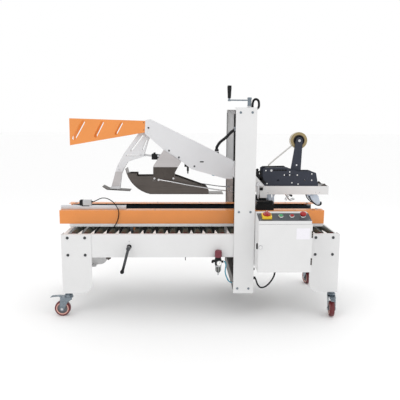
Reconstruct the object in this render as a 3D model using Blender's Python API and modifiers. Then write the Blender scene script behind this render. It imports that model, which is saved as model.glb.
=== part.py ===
"""A flap-folding carton sealer: roller bed on casters, two side belts, and a crank-lifted sealing head.

Metres, +Z up, +X along the carton's travel. Every measure below is taken from the middle of the bed on
the floor, and the empty "machine" moves the whole so that the middle of its bounding box is the origin.
"""

import math

import bmesh
import bpy
from mathutils import Matrix, Vector

# ---- driving dimensions ---------------------------------------------------------------------------

MACHINE_SHIFT = (0.0429, 0.0431, 0.0)
GAP = 0.0005
SHEET = 0.003

BED_LENGTH = 1.751
BED_HALF = 0.314
BEAM_TOP = 0.538
BEAM_BOTTOM = 0.390
BEAM_END = BED_LENGTH / 2 - 0.0075
LEG_WIDTH = 0.186
LEG_BOTTOM = 0.157
LEG_CORNER = 0.065

ROLLER_COUNT = 22
ROLLER_FIRST = -0.805
ROLLER_PITCH = 0.078
ROLLER_RADIUS = 0.024
ROLLER_AXIS_Z = 0.521
ROLLER_HALF = 0.284
ROLLER_AT_COLUMN = 14
ROLLERS_AT_LOWER_HEAD = (17, 18, 19)
LOWER_HEAD_HALF = 0.080

COLUMN_LEFT = 0.2025
COLUMN_RIGHT = 0.3295
COLUMN_FACE = 0.332
COLUMN_MOUTH = 0.232
COLUMN_TOP = 1.322
BED_TOP = ROLLER_AXIS_Z + ROLLER_RADIUS
SCREW_X = 0.289
SCREW_Y = 0.268
SCREW_RADIUS = 0.0115

CASTER_X = 0.848
CASTER_Y = 0.285
CASTER_TRAIL = 0.040
WHEEL_RADIUS = 0.050
WHEEL_HALF = 0.016
CASTER_HEADINGS = {"infeed_near": 180, "outfeed_near": -100, "infeed_far": 160, "outfeed_far": 100}

RAIL_LEFT = -0.9165
RAIL_RIGHT = 0.811
RAIL_OUT = 0.170
RAIL_IN = 0.100
RAIL_TOP = 0.664
RAIL_BOTTOM = 0.576
POST_XS = (-0.454, 0.404)
POST_Y = 0.145
SPINDLE_Z = 0.459
SPINDLE_RADIUS = 0.009

ARM_HALF = 0.060
GUARD_FACE = ARM_HALF - SHEET - GAP
CARRIAGE_LEFT = 0.215
CARRIAGE_RIGHT = 0.262
KICKER_PIVOT = (-0.344, 1.193)
ROD_EYE = (-0.399, 1.014)
CYLINDER_PIVOT = (-0.080, 0.985)
SKI_BOTTOM = 0.7555
SKI_HALF = 0.0625
TRAY_HALF = 0.075
TAPE_PLATE_HALF = 0.061
ROLL_CENTRE = (0.660, 1.1135)
ROLL_RADIUS = 0.056
FRONT_PIVOT = (0.452, 0.795)
FRONT_ROLLER = (0.485, 0.692)
REAR_PIVOT = (0.660, 0.800)
REAR_ROLLER = (0.805, 0.690)
WIPE_RADIUS = 0.016

CABINET_LEFT = 0.3324
CABINET_RIGHT = 0.6506
CABINET_BACK = -0.316
CABINET_FRONT = -0.4765
CABINET_BOTTOM = 0.3395
PANEL_FRONT = (-0.4765, 0.6564)
PANEL_BACK = (-0.380, 0.685)
PANEL_POINT = (-0.430, 0.6702)
BUTTON_XS = {"main_switch": 0.386, "start_button": 0.4728, "stop_button": 0.5391, "estop_button": 0.606}

REGULATOR = (0.104, -0.345)

# ---- scene and materials --------------------------------------------------------------------------


def clear_scene():
    for old in list(bpy.data.objects):
        bpy.data.objects.remove(old, do_unlink=True)


clear_scene()
PARTS = bpy.data.collections.new("carton_sealer")
bpy.context.scene.collection.children.link(PARTS)


def material(name, colour, roughness, metallic=0.0):
    made = bpy.data.materials.new(name)
    made.use_nodes = True
    shader = made.node_tree.nodes["Principled BSDF"]
    shader.inputs["Base Color"].default_value = (*colour, 1)
    shader.inputs["Roughness"].default_value = roughness
    shader.inputs["Metallic"].default_value = metallic
    return made


MATERIALS = {
    "frame_paint": material("frame_paint", (0.72, 0.72, 0.71), 0.45),
    "orange_paint": material("orange_paint", (0.76, 0.29, 0.08), 0.4),
    "head_paint": material("head_paint", (0.05, 0.06, 0.09), 0.4),
    "dark_steel": material("dark_steel", (0.08, 0.07, 0.065), 0.35, 0.8),
    "grey_steel": material("grey_steel", (0.38, 0.37, 0.37), 0.35, 0.6),
    "zinc": material("zinc", (0.45, 0.5, 0.54), 0.35, 0.9),
    "steel": material("steel", (0.6, 0.6, 0.6), 0.25, 1.0),
    "aluminium": material("aluminium", (0.75, 0.76, 0.77), 0.35, 1.0),
    "black_plastic": material("black_plastic", (0.02, 0.02, 0.022), 0.45),
    "belt_rubber": material("belt_rubber", (0.01, 0.014, 0.025), 0.6),
    "wheel_tread": material("wheel_tread", (0.25, 0.02, 0.025), 0.5),
    "tape": material("tape", (0.3, 0.17, 0.05), 0.3),
    "red_plastic": material("red_plastic", (0.6, 0.01, 0.01), 0.3),
    "green_plastic": material("green_plastic", (0.02, 0.35, 0.08), 0.3),
    "knob_plastic": material("knob_plastic", (0.15, 0.02, 0.035), 0.4),
    "hose": material("hose", (0.04, 0.27, 0.32), 0.4),
    "sensor_plastic": material("sensor_plastic", (0.35, 0.36, 0.38), 0.45),
}

MACHINE = bpy.data.objects.new("machine", None)
MACHINE.location = MACHINE_SHIFT
PARTS.objects.link(MACHINE)

# ---- shapes ---------------------------------------------------------------------------------------

PLANE = {
    "XY": Matrix.Identity(4),
    "XZ": Matrix(((1, 0, 0, 0), (0, 0, -1, 0), (0, 1, 0, 0), (0, 0, 0, 1))),
    "YZ": Matrix(((0, 0, 1, 0), (1, 0, 0, 0), (0, 1, 0, 0), (0, 0, 0, 1))),
}
ACROSS = {"XY": 2, "XZ": 1, "YZ": 0}


def mesh_object(mesh):
    made = bpy.data.objects.new(mesh.name, mesh)
    PARTS.objects.link(made)
    return made


def from_bmesh(shape):
    mesh = bpy.data.meshes.new("shape")
    shape.to_mesh(mesh)
    shape.free()
    return mesh_object(mesh)


def box(low, high):
    """A block between two corners."""
    shape = bmesh.new()
    size = [h - l for l, h in zip(low, high)]
    middle = [(h + l) / 2 for l, h in zip(low, high)]
    place = Matrix.Translation(middle) @ Matrix.Diagonal((*size, 1))
    bmesh.ops.create_cube(shape, size=1, matrix=place)
    return from_bmesh(shape)


def cylinder(start, end, radius, sides=16, end_radius=None):
    """A round bar or cone between two points."""
    start, end = Vector(start), Vector(end)
    along = end - start
    place = Matrix.Translation((start + end) / 2) @ along.to_track_quat("Z", "Y").to_matrix().to_4x4()
    shape = bmesh.new()
    far = radius if end_radius is None else end_radius
    bmesh.ops.create_cone(
        shape, cap_ends=True, segments=sides, radius1=radius, radius2=far, depth=along.length, matrix=place
    )
    return from_bmesh(shape)


def baked(source):
    """The object as its modifiers leave it, as a plain mesh with its caps joined."""
    bpy.context.view_layer.update()
    graph = bpy.context.evaluated_depsgraph_get()
    mesh = bpy.data.meshes.new_from_object(source.evaluated_get(graph))
    shape = bmesh.new()
    shape.from_mesh(mesh)
    bmesh.ops.remove_doubles(shape, verts=shape.verts, dist=1e-6)
    bmesh.ops.recalc_face_normals(shape, faces=shape.faces)
    shape.to_mesh(mesh)
    shape.free()
    made = mesh_object(mesh)
    made.matrix_world = source.matrix_world
    bpy.data.objects.remove(source, do_unlink=True)
    return made


def plate(plane, outline, low, high, holes=()):
    """A flat outline in a plane, made thick from low to high across it. Holes are (a, b, radius)."""
    curve = bpy.data.curves.new("outline", "CURVE")
    curve.dimensions = "2D"
    curve.fill_mode = "BOTH"
    curve.extrude = (high - low) / 2
    loops = [outline]
    for a, b, radius in holes:
        loops.append([(a + radius * c, b + radius * s) for c, s in turn(12)])
    for loop in loops:
        spline = curve.splines.new("POLY")
        spline.points.add(len(loop) - 1)
        spline.use_cyclic_u = True
        for point, (a, b) in zip(spline.points, loop):
            point.co = (a, b, 0, 1)
    source = bpy.data.objects.new("outline", curve)
    PARTS.objects.link(source)
    made = baked(source)
    offset = [0, 0, 0]
    offset[ACROSS[plane]] = (low + high) / 2
    made.data.transform(Matrix.Translation(offset) @ PLANE[plane])
    return made


def turn(steps, start=0.0, end=360.0):
    """(cosine, sine) at even steps from start to end, in degrees; a whole turn leaves out its last point."""
    last = steps if end - start >= 360 else steps - 1
    angles = [math.radians(start + (end - start) * i / last) for i in range(steps)]
    return [(math.cos(a), math.sin(a)) for a in angles]


def arc(a, b, radius, start, end, steps):
    return [(a + radius * c, b + radius * s) for c, s in turn(steps, start, end)]


def turned(profile, place, steps=24):
    """A profile of (radius, height) points, from the top down its outer side, turned about its own Z."""
    mesh = bpy.data.meshes.new("profile")
    points = [(radius, 0, height) for radius, height in profile]
    closed = profile[0][0] > 0
    edges = [(i, i + 1) for i in range(len(points) - 1)]
    if closed:
        edges.append((len(points) - 1, 0))
    mesh.from_pydata(points, edges, [])
    source = mesh_object(mesh)
    screw = source.modifiers.new("turn", "SCREW")
    screw.steps = steps
    screw.render_steps = steps
    screw.use_merge_vertices = True
    screw.merge_threshold = 0.00001
    made = baked(source)
    made.data.transform(place)
    return made


def along_y(x, y, z):
    """Places a turned shape with its axis along Y, its top towards -Y."""
    return Matrix.Translation((x, y, z)) @ Matrix.Rotation(math.radians(90), 4, "X")


def joined(base, *others, operation="UNION"):
    """One closed body from overlapping ones, or the base with the others cut away."""
    for other in others:
        step = base.modifiers.new("join", "BOOLEAN")
        step.operation = operation
        step.object = other
        base = baked(base)
        bpy.data.objects.remove(other, do_unlink=True)
    return base


def cut(base, *cutters):
    return joined(base, *cutters, operation="DIFFERENCE")


def tube(points, radius, resolution=2):
    """A cord or wire through the points, as a smooth curve read off at even steps."""
    curve = bpy.data.curves.new("route", "CURVE")
    curve.dimensions = "3D"
    curve.bevel_depth = radius
    curve.bevel_resolution = resolution
    curve.use_fill_caps = True
    route = smooth_route(points, 3)
    spline = curve.splines.new("POLY")
    spline.points.add(len(route) - 1)
    for point, place in zip(spline.points, route):
        point.co = (*place, 1)
    source = bpy.data.objects.new("route", curve)
    PARTS.objects.link(source)
    return baked(source)


def smooth_route(points, steps):
    """Points on the Catmull-Rom curve through the given ones."""
    ends = [2 * Vector(points[0]) - Vector(points[1])]
    known = ends + [Vector(p) for p in points] + [2 * Vector(points[-1]) - Vector(points[-2])]
    route = []
    for i in range(1, len(known) - 2):
        before, here, there, after = known[i - 1 : i + 3]
        for step in range(steps):
            t = step / steps
            bend = (2 * before - 5 * here + 4 * there - after) * t * t
            twist = (3 * here - before - 3 * there + after) * t**3
            route.append(0.5 * (2 * here + (there - before) * t + bend + twist))
    route.append(known[-2])
    return route


def mirrored(points):
    """The same outline on the far side, for planes whose first axis is Y."""
    return [(-a, b) for a, b in reversed(points)]


def part(name, finish, shape, axis_point=(0, 0, 0), smooth=True):
    """Names a finished shape, gives it its material, and puts its origin on its joint's axis."""
    shape.data.transform(Matrix.Translation([-c for c in axis_point]))
    shape.location = axis_point
    shape.name = name
    shape.data.name = name
    shape.data.materials.clear()
    shape.data.materials.append(MATERIALS[finish])
    if smooth:
        shape.data.shade_smooth()
        shape.data.set_sharp_from_angle(angle=math.radians(35))
    shape.parent = MACHINE
    return shape


def side_name(side):
    return "near" if side < 0 else "far"


def across(side, inner, outer):
    """The (low, high) pair of a span given by its distances from the middle, on one side."""
    return (side * outer, side * inner) if side < 0 else (side * inner, side * outer)


# ---- bed ------------------------------------------------------------------------------------------


def roller_x(index):
    return ROLLER_FIRST + index * ROLLER_PITCH


def side_beams():
    flange = 0.025
    outer, inner = BED_HALF, BED_HALF - flange
    profile = [
        (-outer, BEAM_BOTTOM),
        (-inner, BEAM_BOTTOM),
        (-inner, BEAM_BOTTOM + SHEET),
        (-outer + SHEET, BEAM_BOTTOM + SHEET),
        (-outer + SHEET, BEAM_TOP - SHEET),
        (-inner, BEAM_TOP - SHEET),
        (-inner, BEAM_TOP),
        (-outer, BEAM_TOP),
    ]
    near = plate("YZ", profile, -BEAM_END, BEAM_END)
    hole_end = Vector((POST_XS[0], -BED_HALF + 0.01, SPINDLE_Z))
    hole = cylinder((POST_XS[0], -BED_HALF - 0.01, SPINDLE_Z), hole_end, SPINDLE_RADIUS + 0.0015)
    part("side_beam_near", "frame_paint", cut(near, hole))
    part("side_beam_far", "frame_paint", plate("YZ", mirrored(profile), -BEAM_END, BEAM_END))


def legs():
    """Four bent plates bolted outside the beams, each with an end flange and a foot plate for its caster."""
    end = BED_LENGTH / 2
    for end_name, way in (("infeed", -1), ("outfeed", 1)):
        inner = end - LEG_WIDTH
        corner = arc(inner + LEG_CORNER, LEG_BOTTOM + LEG_CORNER, LEG_CORNER, 180, 270, 7)
        outline = [(end, LEG_BOTTOM), (end, BEAM_TOP), (inner, BEAM_TOP)] + corner
        outline = [(way * x, z) for x, z in outline]
        for side in (-1, 1):
            face = plate("XZ", outline, *across(side, BED_HALF + GAP, BED_HALF + 0.0045))
            flange_x = sorted((way * (end - 0.004), way * end))
            flange_y = across(side, 0.250, BED_HALF + 0.002)
            flange = box((flange_x[0], flange_y[0], LEG_BOTTOM), (flange_x[1], flange_y[1], BEAM_TOP))
            foot_x = sorted((way * (end - 0.105), way * (end - 0.002)))
            foot = box((foot_x[0], flange_y[0], LEG_BOTTOM), (foot_x[1], flange_y[1], LEG_BOTTOM + 0.006))
            part(f"leg_{end_name}_{side_name(side)}", "frame_paint", joined(face, flange, foot))


def casters():
    crown_z = LEG_BOTTOM - 0.0005
    for place, heading in CASTER_HEADINGS.items():
        x = CASTER_X * (-1 if "infeed" in place else 1)
        y = CASTER_Y * (-1 if "near" in place else 1)
        turn_to = Matrix.Translation((x, y, 0)) @ Matrix.Rotation(math.radians(heading), 4, "Z")
        stem = cylinder((0, 0, 0.128), (0, 0, crown_z), 0.024)
        crown = box((-0.026, -0.026, 0.118), (CASTER_TRAIL + 0.012, 0.026, 0.132))
        cheeks = []
        for side in (-1, 1):
            outline = [(-0.024, 0.120), (0.022, 0.034), (0.054, 0.034), (0.056, 0.120)]
            cheeks.append(plate("XZ", outline, *across(side, 0.0205, 0.0245)))
        axle = cylinder((CASTER_TRAIL, -0.023, WHEEL_RADIUS), (CASTER_TRAIL, 0.023, WHEEL_RADIUS), 0.0075)
        pedal = plate("XZ", [(0.045, 0.121), (0.045, 0.131), (0.113, 0.127), (0.116, 0.121)], -0.012, 0.012)
        fork = joined(crown, stem, *cheeks, axle, pedal)
        fork.data.transform(turn_to)
        part(f"caster_fork_{place}", "zinc", fork, (x, y, LEG_BOTTOM))

        half, hub = WHEEL_HALF, 0.019
        profile = [
            (0.018, hub),
            (0.046, half),
            (WHEEL_RADIUS, half - 0.004),
            (WHEEL_RADIUS, -half + 0.004),
            (0.046, -half),
            (0.018, -hub),
            (0.0080, -hub),
            (0.0080, hub),
        ]
        wheel = turned(profile, along_y(CASTER_TRAIL, 0, WHEEL_RADIUS), 24)
        wheel.data.transform(turn_to)
        centre = turn_to @ Vector((CASTER_TRAIL, 0, WHEEL_RADIUS))
        part(f"caster_wheel_{place}", "wheel_tread", wheel, centre)


def roller_bank():
    """The gravity rollers between two bars and two end plates, in short pairs beside the lower tape head."""
    bars = []
    for side in (-1, 1):
        y = across(side, ROLLER_HALF - 0.001, 0.2885)
        bars.append(box((-0.862, y[0], 0.503), (0.862, y[1], 0.5335)))
    rollers = []
    for index in range(ROLLER_COUNT):
        if index == ROLLER_AT_COLUMN:
            continue
        x = roller_x(index)
        spans = [(-ROLLER_HALF, ROLLER_HALF)]
        if index in ROLLERS_AT_LOWER_HEAD:
            spans = [(-ROLLER_HALF, -LOWER_HEAD_HALF), (LOWER_HEAD_HALF, ROLLER_HALF)]
        for low, high in spans:
            rollers.append(cylinder((x, low, ROLLER_AXIS_Z), (x, high, ROLLER_AXIS_Z), ROLLER_RADIUS, 12))
    ends = []
    for way in (-1, 1):
        top, drop, lip = 0.5335, 0.140, 0.023
        profile = [(0.868, top - drop), (0.868, top), (0.868 - lip, top), (0.868 - lip, top - SHEET)]
        profile += [(0.865, top - SHEET), (0.865, top - drop)]
        ends.append(plate("XZ", [(way * x, z) for x, z in profile], -0.2884, 0.2884))
    part("roller_bank", "steel", joined(bars[0], *rollers, bars[1], *ends))


def lower_tape_head():
    """The bottom sealing unit between the short rollers: two plates, spacers, and its roll of tape."""
    outline = [(0.478, 0.350), (0.722, 0.350), (0.722, 0.536), (0.478, 0.536)]
    plates = [plate("XZ", outline, *across(side, 0.056, 0.060)) for side in (-1, 1)]
    bars = []
    for x, z in ((0.495, 0.370), (0.705, 0.370), (0.500, 0.515), (0.700, 0.515)):
        bars.append(cylinder((x, -0.057, z), (x, 0.057, z), 0.008, 12))
    roll_arm = box((0.585, -0.034, 0.300), (0.615, -0.030, 0.380))
    arm_foot = box((0.585, -0.057, 0.370), (0.615, -0.030, 0.380))
    roll = cylinder((0.600, -0.032, 0.290), (0.600, 0.026, 0.290), 0.052, 24)
    part("lower_tape_head", "head_paint", joined(plates[0], *bars, plates[1], arm_foot, roll_arm, roll))


# ---- columns and lift -----------------------------------------------------------------------------


def columns():
    for side in (-1, 1):
        web = [(COLUMN_LEFT, -COLUMN_FACE), (COLUMN_RIGHT, -COLUMN_FACE)]
        left, right = COLUMN_LEFT + SHEET, COLUMN_RIGHT - SHEET
        upper = web + [
            (COLUMN_RIGHT, -COLUMN_MOUTH),
            (right, -COLUMN_MOUTH),
            (right, -COLUMN_FACE + SHEET),
            (left, -COLUMN_FACE + SHEET),
            (left, -COLUMN_FACE + 0.020),
            (COLUMN_LEFT, -COLUMN_FACE + 0.020),
        ]
        lower_edge = -BED_HALF - GAP
        lower = web + [
            (COLUMN_RIGHT, lower_edge),
            (right, lower_edge),
            (right, -COLUMN_FACE + SHEET),
            (left, -COLUMN_FACE + SHEET),
            (left, lower_edge),
            (COLUMN_LEFT, lower_edge),
        ]
        if side > 0:
            upper = [(x, -y) for x, y in upper]
            lower = [(x, -y) for x, y in lower]
        y = across(side, COLUMN_MOUTH, COLUMN_FACE)
        cap = box((COLUMN_LEFT, y[0], COLUMN_TOP - SHEET), (COLUMN_RIGHT, y[1], COLUMN_TOP))
        above = plate("XY", upper, BED_TOP, COLUMN_TOP - 0.001)
        below = plate("XY", lower, LEG_BOTTOM, BED_TOP + 0.006)
        column = joined(above, below, cap)
        hole_y = side * SCREW_Y
        hole = cylinder((SCREW_X, hole_y, COLUMN_TOP - 0.01), (SCREW_X, hole_y, COLUMN_TOP + 0.01), 0.0135)
        part(f"column_{side_name(side)}", "frame_paint", cut(column, hole))


def column_tie():
    """The channel under the bed that joins the columns' feet and carries the lift screws' lower ends."""
    left, right, low, high = COLUMN_LEFT + 0.003, COLUMN_RIGHT - 0.003, LEG_BOTTOM + 0.003, 0.235
    outline = [
        (left, low),
        (left + SHEET, low),
        (left + SHEET, high - SHEET),
        (right - SHEET, high - SHEET),
        (right - SHEET, low),
        (right, low),
        (right, high),
        (left, high),
    ]
    part("column_tie", "dark_steel", plate("XZ", outline, -BED_HALF + 0.0015, BED_HALF - 0.0015))


def lift():
    """Two screws with a sprocket each, the chain that joins them, and the crank on the near one."""
    foot = 0.2355
    for side in (-1, 1):
        top = 1.332 if side < 0 else 1.328
        profile = [
            (0, top),
            (SCREW_RADIUS, top),
            (SCREW_RADIUS, 0.262),
            (0.0325, 0.262),
            (0.0325, 0.254),
            (SCREW_RADIUS, 0.254),
            (SCREW_RADIUS, foot),
            (0, foot),
        ]
        place = Matrix.Translation((SCREW_X, side * SCREW_Y, 0))
        point = (SCREW_X, side * SCREW_Y, foot)
        part(f"lift_screw_{side_name(side)}", "steel", turned(profile, place, 20), point)

    def loop(radius):
        ends = arc(SCREW_X, SCREW_Y, radius, 0, 180, 9)
        return ends + arc(SCREW_X, -SCREW_Y, radius, 180, 360 - 1e-9, 9)

    chain = plate("XY", loop(0.0385), 0.2548, 0.2612)
    part("sync_chain", "dark_steel", cut(chain, plate("XY", loop(0.0345), 0.25, 0.27)))

    x, y = SCREW_X, -SCREW_Y
    hub = cylinder((x, y, 1.3325), (x, y, 1.381), 0.0135)
    arm = box((x - 0.124, y - 0.009, 1.3615), (x + 0.004, y + 0.009, 1.3735))
    grip_x = x - 0.124
    grip = cylinder((grip_x, y, 1.360), (grip_x, y, 1.380), 0.009)
    handle = cylinder((grip_x, y, 1.379), (grip_x, y, 1.454), 0.010, 16, 0.0135)
    part("lift_crank", "steel", joined(arm, hub, grip, handle), (x, y, 1.3325))


# ---- sealing head ---------------------------------------------------------------------------------


def head_carriage():
    """The cross beam between the columns, with a nut block round each lift screw."""
    beam = box((CARRIAGE_LEFT, -0.300, 0.875), (CARRIAGE_RIGHT, 0.300, 0.945))
    blocks = []
    for side in (-1, 1):
        y = across(side, 0.238, 0.320)
        block = box((0.2125, y[0], 0.870), (0.318, y[1], 0.950))
        hole_y = side * SCREW_Y
        hole = cylinder((SCREW_X, hole_y, 0.86), (SCREW_X, hole_y, 0.96), SCREW_RADIUS + 0.0008, 20)
        blocks.append(cut(block, hole))
    part("head_carriage", "frame_paint", joined(beam, *blocks))


def head_arm():
    """A folded channel, open below, that carries the flap folders ahead of the columns."""
    top = [(-0.3639, 1.2433), (-0.3319, 1.2492), (-0.0057, 1.0909), (0.2146, 0.9795)]
    bottom = [
        (0.2146, 0.8578),
        (0.1684, 0.8588),
        (-0.0606, 0.9219),
        (-0.1251, 0.9730),
        (-0.2458, 1.0492),
        (-0.3682, 1.1565),
    ]
    side_outline = top + bottom
    plates = []
    for side in (-1, 1):
        plates.append(plate("XZ", side_outline, *across(side, ARM_HALF - SHEET, ARM_HALF)))
    drop = 0.0035
    skin = top + [(x - 0.0004, z - drop) for x, z in reversed(top)]
    cover = plate("XZ", skin, -ARM_HALF + 0.001, ARM_HALF - 0.001)
    end = box((0.2110, -ARM_HALF + 0.001, 0.8600), (0.2140, ARM_HALF - 0.001, 0.9770))
    gland = cylinder((0.108, -0.020, 1.022), (0.108, -0.020, 1.052), 0.013, 12)
    part("head_arm", "frame_paint", joined(plates[0], cover, end, plates[1], gland))


def guards():
    """Two slotted wings inside the arm's walls, which the kicker swings up between."""
    outline = [(-0.8578, 1.2523), (-0.3290, 1.2375), (-0.3290, 1.1700), (-0.8591, 1.0769)]
    slots = (
        ((-0.7692, 1.2281), (-0.8298, 1.1235), 0.0125),
        ((-0.6449, 1.2256), (-0.6917, 1.1370), 0.0105),
        ((-0.5204, 1.2212), (-0.5578, 1.1544), 0.0088),
    )
    for side in (-1, 1):
        wing = plate("XZ", outline, *across(side, GUARD_FACE - SHEET, GUARD_FACE))
        cutters = []
        for (x1, z1), (x2, z2), half in slots:
            lean = math.degrees(math.atan2(z1 - z2, x1 - x2))
            ends = arc(x1, z1, half, lean - 90, lean + 90, 5) + arc(x2, z2, half, lean + 90, lean + 270, 5)
            cutters.append(plate("XZ", ends, *across(side, ARM_HALF - 0.01, ARM_HALF + 0.02)))
        part(f"guard_{side_name(side)}", "orange_paint", cut(wing, *cutters))


def kicker():
    """The rear-flap folder: a two-plate curved arm and foot, with the air cylinder that lifts it."""
    left = [(-0.374, 1.212), (-0.4245, 1.1407), (-0.5127, 1.0218), (-0.5589, 0.9382), (-0.5841, 0.8539)]
    right = [
        (-0.5441, 0.7814),
        (-0.5300, 0.8844),
        (-0.5146, 0.9202),
        (-0.4864, 0.9659),
        (-0.4388, 0.9834),
        (-0.3853, 0.9990),
        (-0.3729, 1.0284),
        (-0.3508, 1.1028),
        (-0.3220, 1.1640),
        (-0.3220, 1.2050),
    ]
    outline = left + [(-0.6037, 0.7860)] + right
    plates = [plate("XZ", outline, *across(side, 0.0175, 0.0225)) for side in (-1, 1)]
    sole = [
        (-0.6570, 0.8045),
        (-0.6555, 0.8015),
        (-0.6219, 0.7813),
        (-0.4723, 0.7726),
        (-0.4723, 0.7760),
        (-0.6205, 0.7850),
    ]
    foot = plate("XZ", sole, -0.050, 0.050)
    toe = plate("XZ", [(-0.610, 0.780), (-0.540, 0.776), (-0.5445, 0.800), (-0.602, 0.800)], -0.0225, 0.0225)
    tubes = []
    for x, z, radius in ((*KICKER_PIVOT, 0.012), (-0.545, 0.915, 0.008)):
        tubes.append(cylinder((x, -0.020, z), (x, 0.020, z), radius))
    pivot = (KICKER_PIVOT[0], 0, KICKER_PIVOT[1])
    part("kicker_arm", "frame_paint", joined(plates[0], *tubes, plates[1], toe, foot), pivot)

    base, eye = Vector((CYLINDER_PIVOT[0], 0, CYLINDER_PIVOT[1])), Vector((ROD_EYE[0], 0, ROD_EYE[1]))
    way = (eye - base).normalized()
    facing = Matrix.Translation(base) @ way.to_track_quat("Z", "Y").to_matrix().to_4x4()
    barrel = [(0.016, 0.245), (0.016, -0.014), (0, -0.014), (0, 0.014), (0.0075, 0.014), (0.0075, 0.245)]
    part("kicker_cylinder", "aluminium", turned_closed(barrel, facing), tuple(base))
    rod = cylinder(base + way * 0.030, eye - way * 0.008, 0.0065, 12)
    end = cylinder((eye.x, -0.008, eye.z), (eye.x, 0.008, eye.z), 0.012, 16)
    pin = cylinder((eye.x, -0.0165, eye.z), (eye.x, 0.0165, eye.z), 0.0045, 12)
    part("kicker_rod", "steel", joined(rod, end, pin), tuple(eye))


def turned_closed(profile, place, steps=20):
    """A turned shape whose profile leaves the axis and comes back to it."""
    start = profile.index(next(p for p in profile if p[0] == 0))
    ordered = profile[start + 1 :] + profile[: start + 1]
    return turned([(0, ordered[0][1])] + ordered, place, steps)


def plough():
    """The bracket and trough-shaped ski that fold and hold the top flaps, with a side-flap rod each side."""
    outline = [
        (-0.2454, 1.0504),
        (-0.3133, 0.9461),
        (-0.3160, 0.8440),
        (-0.1720, 0.8490),
        (-0.1720, 0.8990),
        (-0.1502, 0.9390),
        (-0.1284, 0.9738),
    ]
    plates = [plate("XZ", outline, *across(side, 0.0640, 0.0670)) for side in (-1, 1)]
    front = box((-0.3155, -0.0655, 0.8805), (-0.3125, 0.0655, 0.9400))
    back = box((-0.1760, -0.0655, 0.8805), (-0.1730, 0.0655, 0.8970))
    part("plough_bracket", "grey_steel", joined(plates[0], front, back, plates[1]))

    radius, start_x = 0.210, -0.336
    lean = math.radians(12)
    centre = (start_x + radius * math.sin(lean), SKI_BOTTOM + radius * math.cos(lean))
    nose = arc(*centre, radius, 270 - 80, 270 - 12, 9)
    inner = arc(*centre, radius - 0.003, 270 - 80, 270 - 12, 9)
    sole = nose + [(0.153, SKI_BOTTOM), (0.153, SKI_BOTTOM + 0.003)] + list(reversed(inner))
    floor = plate("XZ", sole, -SKI_HALF - 0.0055, SKI_HALF + 0.0055)
    low = arc(*centre, radius - 0.0015, 270 - 69, 270 - 12, 8)
    wall = low + [
        (0.0547, SKI_BOTTOM + 0.0015),
        (0.0545, 0.7830),
        (0.0389, 0.8033),
        (-0.1690, 0.8776),
        (-0.4233, 0.8750),
        (-0.4243, 0.8930),
        (-0.4780, 0.8930),
    ]
    walls = [plate("XZ", wall, *across(side, SKI_HALF - 0.0025, SKI_HALF)) for side in (-1, 1)]
    part("plough_ski", "dark_steel", joined(floor, *walls))

    for side in (-1, 1):
        points = [
            (-0.279, side * 0.0720, 0.853),
            (-0.200, side * 0.0850, 0.842),
            (-0.104, side * 0.1000, 0.825),
            (0.020, side * 0.1050, 0.805),
            (0.127, side * 0.1050, 0.789),
            (0.205, side * 0.1000, 0.783),
        ]
        part(f"flap_rod_{side_name(side)}", "aluminium", tube(points, 0.004))


def tape_tray():
    """The open frame behind the columns that the upper tape head drops into."""
    ring = cut(
        box((0.4225, -TRAY_HALF, 0.7555), (0.8615, TRAY_HALF, 0.8126)),
        box((0.4245, -TRAY_HALF + 0.002, 0.70), (0.8595, TRAY_HALF - 0.002, 0.90)),
    )
    hanger = [(0.2625, 0.900), (0.2625, 0.800), (0.430, 0.758), (0.430, 0.811), (0.350, 0.900)]
    hangers = [plate("XZ", hanger, *across(side, TRAY_HALF - 0.002, TRAY_HALF)) for side in (-1, 1)]
    part("tape_tray", "frame_paint", joined(ring, *hangers))


def tape_head():
    """The upper tape head: side plates and roll arm, the tape roll, and the two sprung roller arms."""
    outline = [
        (0.4150, 0.9252),
        (0.4306, 0.9346),
        (0.5782, 0.9376),
        (0.5974, 0.9257),
        (0.6591, 0.9091),
        (0.7491, 0.9094),
        (0.7751, 0.9001),
        (0.7929, 0.8180),
        (0.7850, 0.7600),
        (0.4300, 0.7600),
        (0.4300, 0.8150),
        (0.4150, 0.8150),
    ]
    plates = []
    for side in (-1, 1):
        inner = TAPE_PLATE_HALF - SHEET
        plates.append(plate("XZ", outline, *across(side, inner, TAPE_PLATE_HALF)))
    bars = []
    for x, z in ((0.440, 0.900), (0.570, 0.905), (0.7600, 0.875), (0.600, 0.775)):
        bars.append(cylinder((x, -0.0595, z), (x, 0.0595, z), 0.007, 12))
    x, z = ROLL_CENTRE
    mast = [(0.612, 0.880), (0.671, 0.880)] + arc(x, z, 0.0235, 8, 172, 9)
    roll_arm = plate("XZ", mast, -0.034, -0.030)
    foot = box((0.614, -0.0595, 0.882), (0.668, -0.031, 0.886))
    axle = cylinder((x, -0.036, z), (x, 0.031, z), 0.008)
    part("tape_head_frame", "head_paint", joined(plates[0], *bars, plates[1], foot, roll_arm, axle))

    profile = [
        (ROLL_RADIUS, 0.024),
        (ROLL_RADIUS, -0.024),
        (0.038, -0.024),
        (0.036, -0.0275),
        (0.0085, -0.0275),
        (0.0085, 0.0275),
        (0.036, 0.0275),
        (0.038, 0.024),
    ]
    part("tape_roll", "tape", turned(profile, along_y(x, 0, z), 28), (x, 0, z))

    for name, pivot, roller in (
        ("front_wipe_arm", FRONT_PIVOT, FRONT_ROLLER),
        ("rear_wipe_arm", REAR_PIVOT, REAR_ROLLER),
    ):
        cheeks = [wipe_cheek(pivot, roller, side) for side in (-1, 1)]
        shaft = cylinder((pivot[0], -0.054, pivot[1]), (pivot[0], 0.054, pivot[1]), 0.009, 12)
        drum = cylinder((roller[0], -0.0525, roller[1]), (roller[0], 0.0525, roller[1]), WIPE_RADIUS, 20)
        part(name, "black_plastic", joined(cheeks[0], shaft, drum, cheeks[1]), (pivot[0], 0, pivot[1]))


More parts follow.
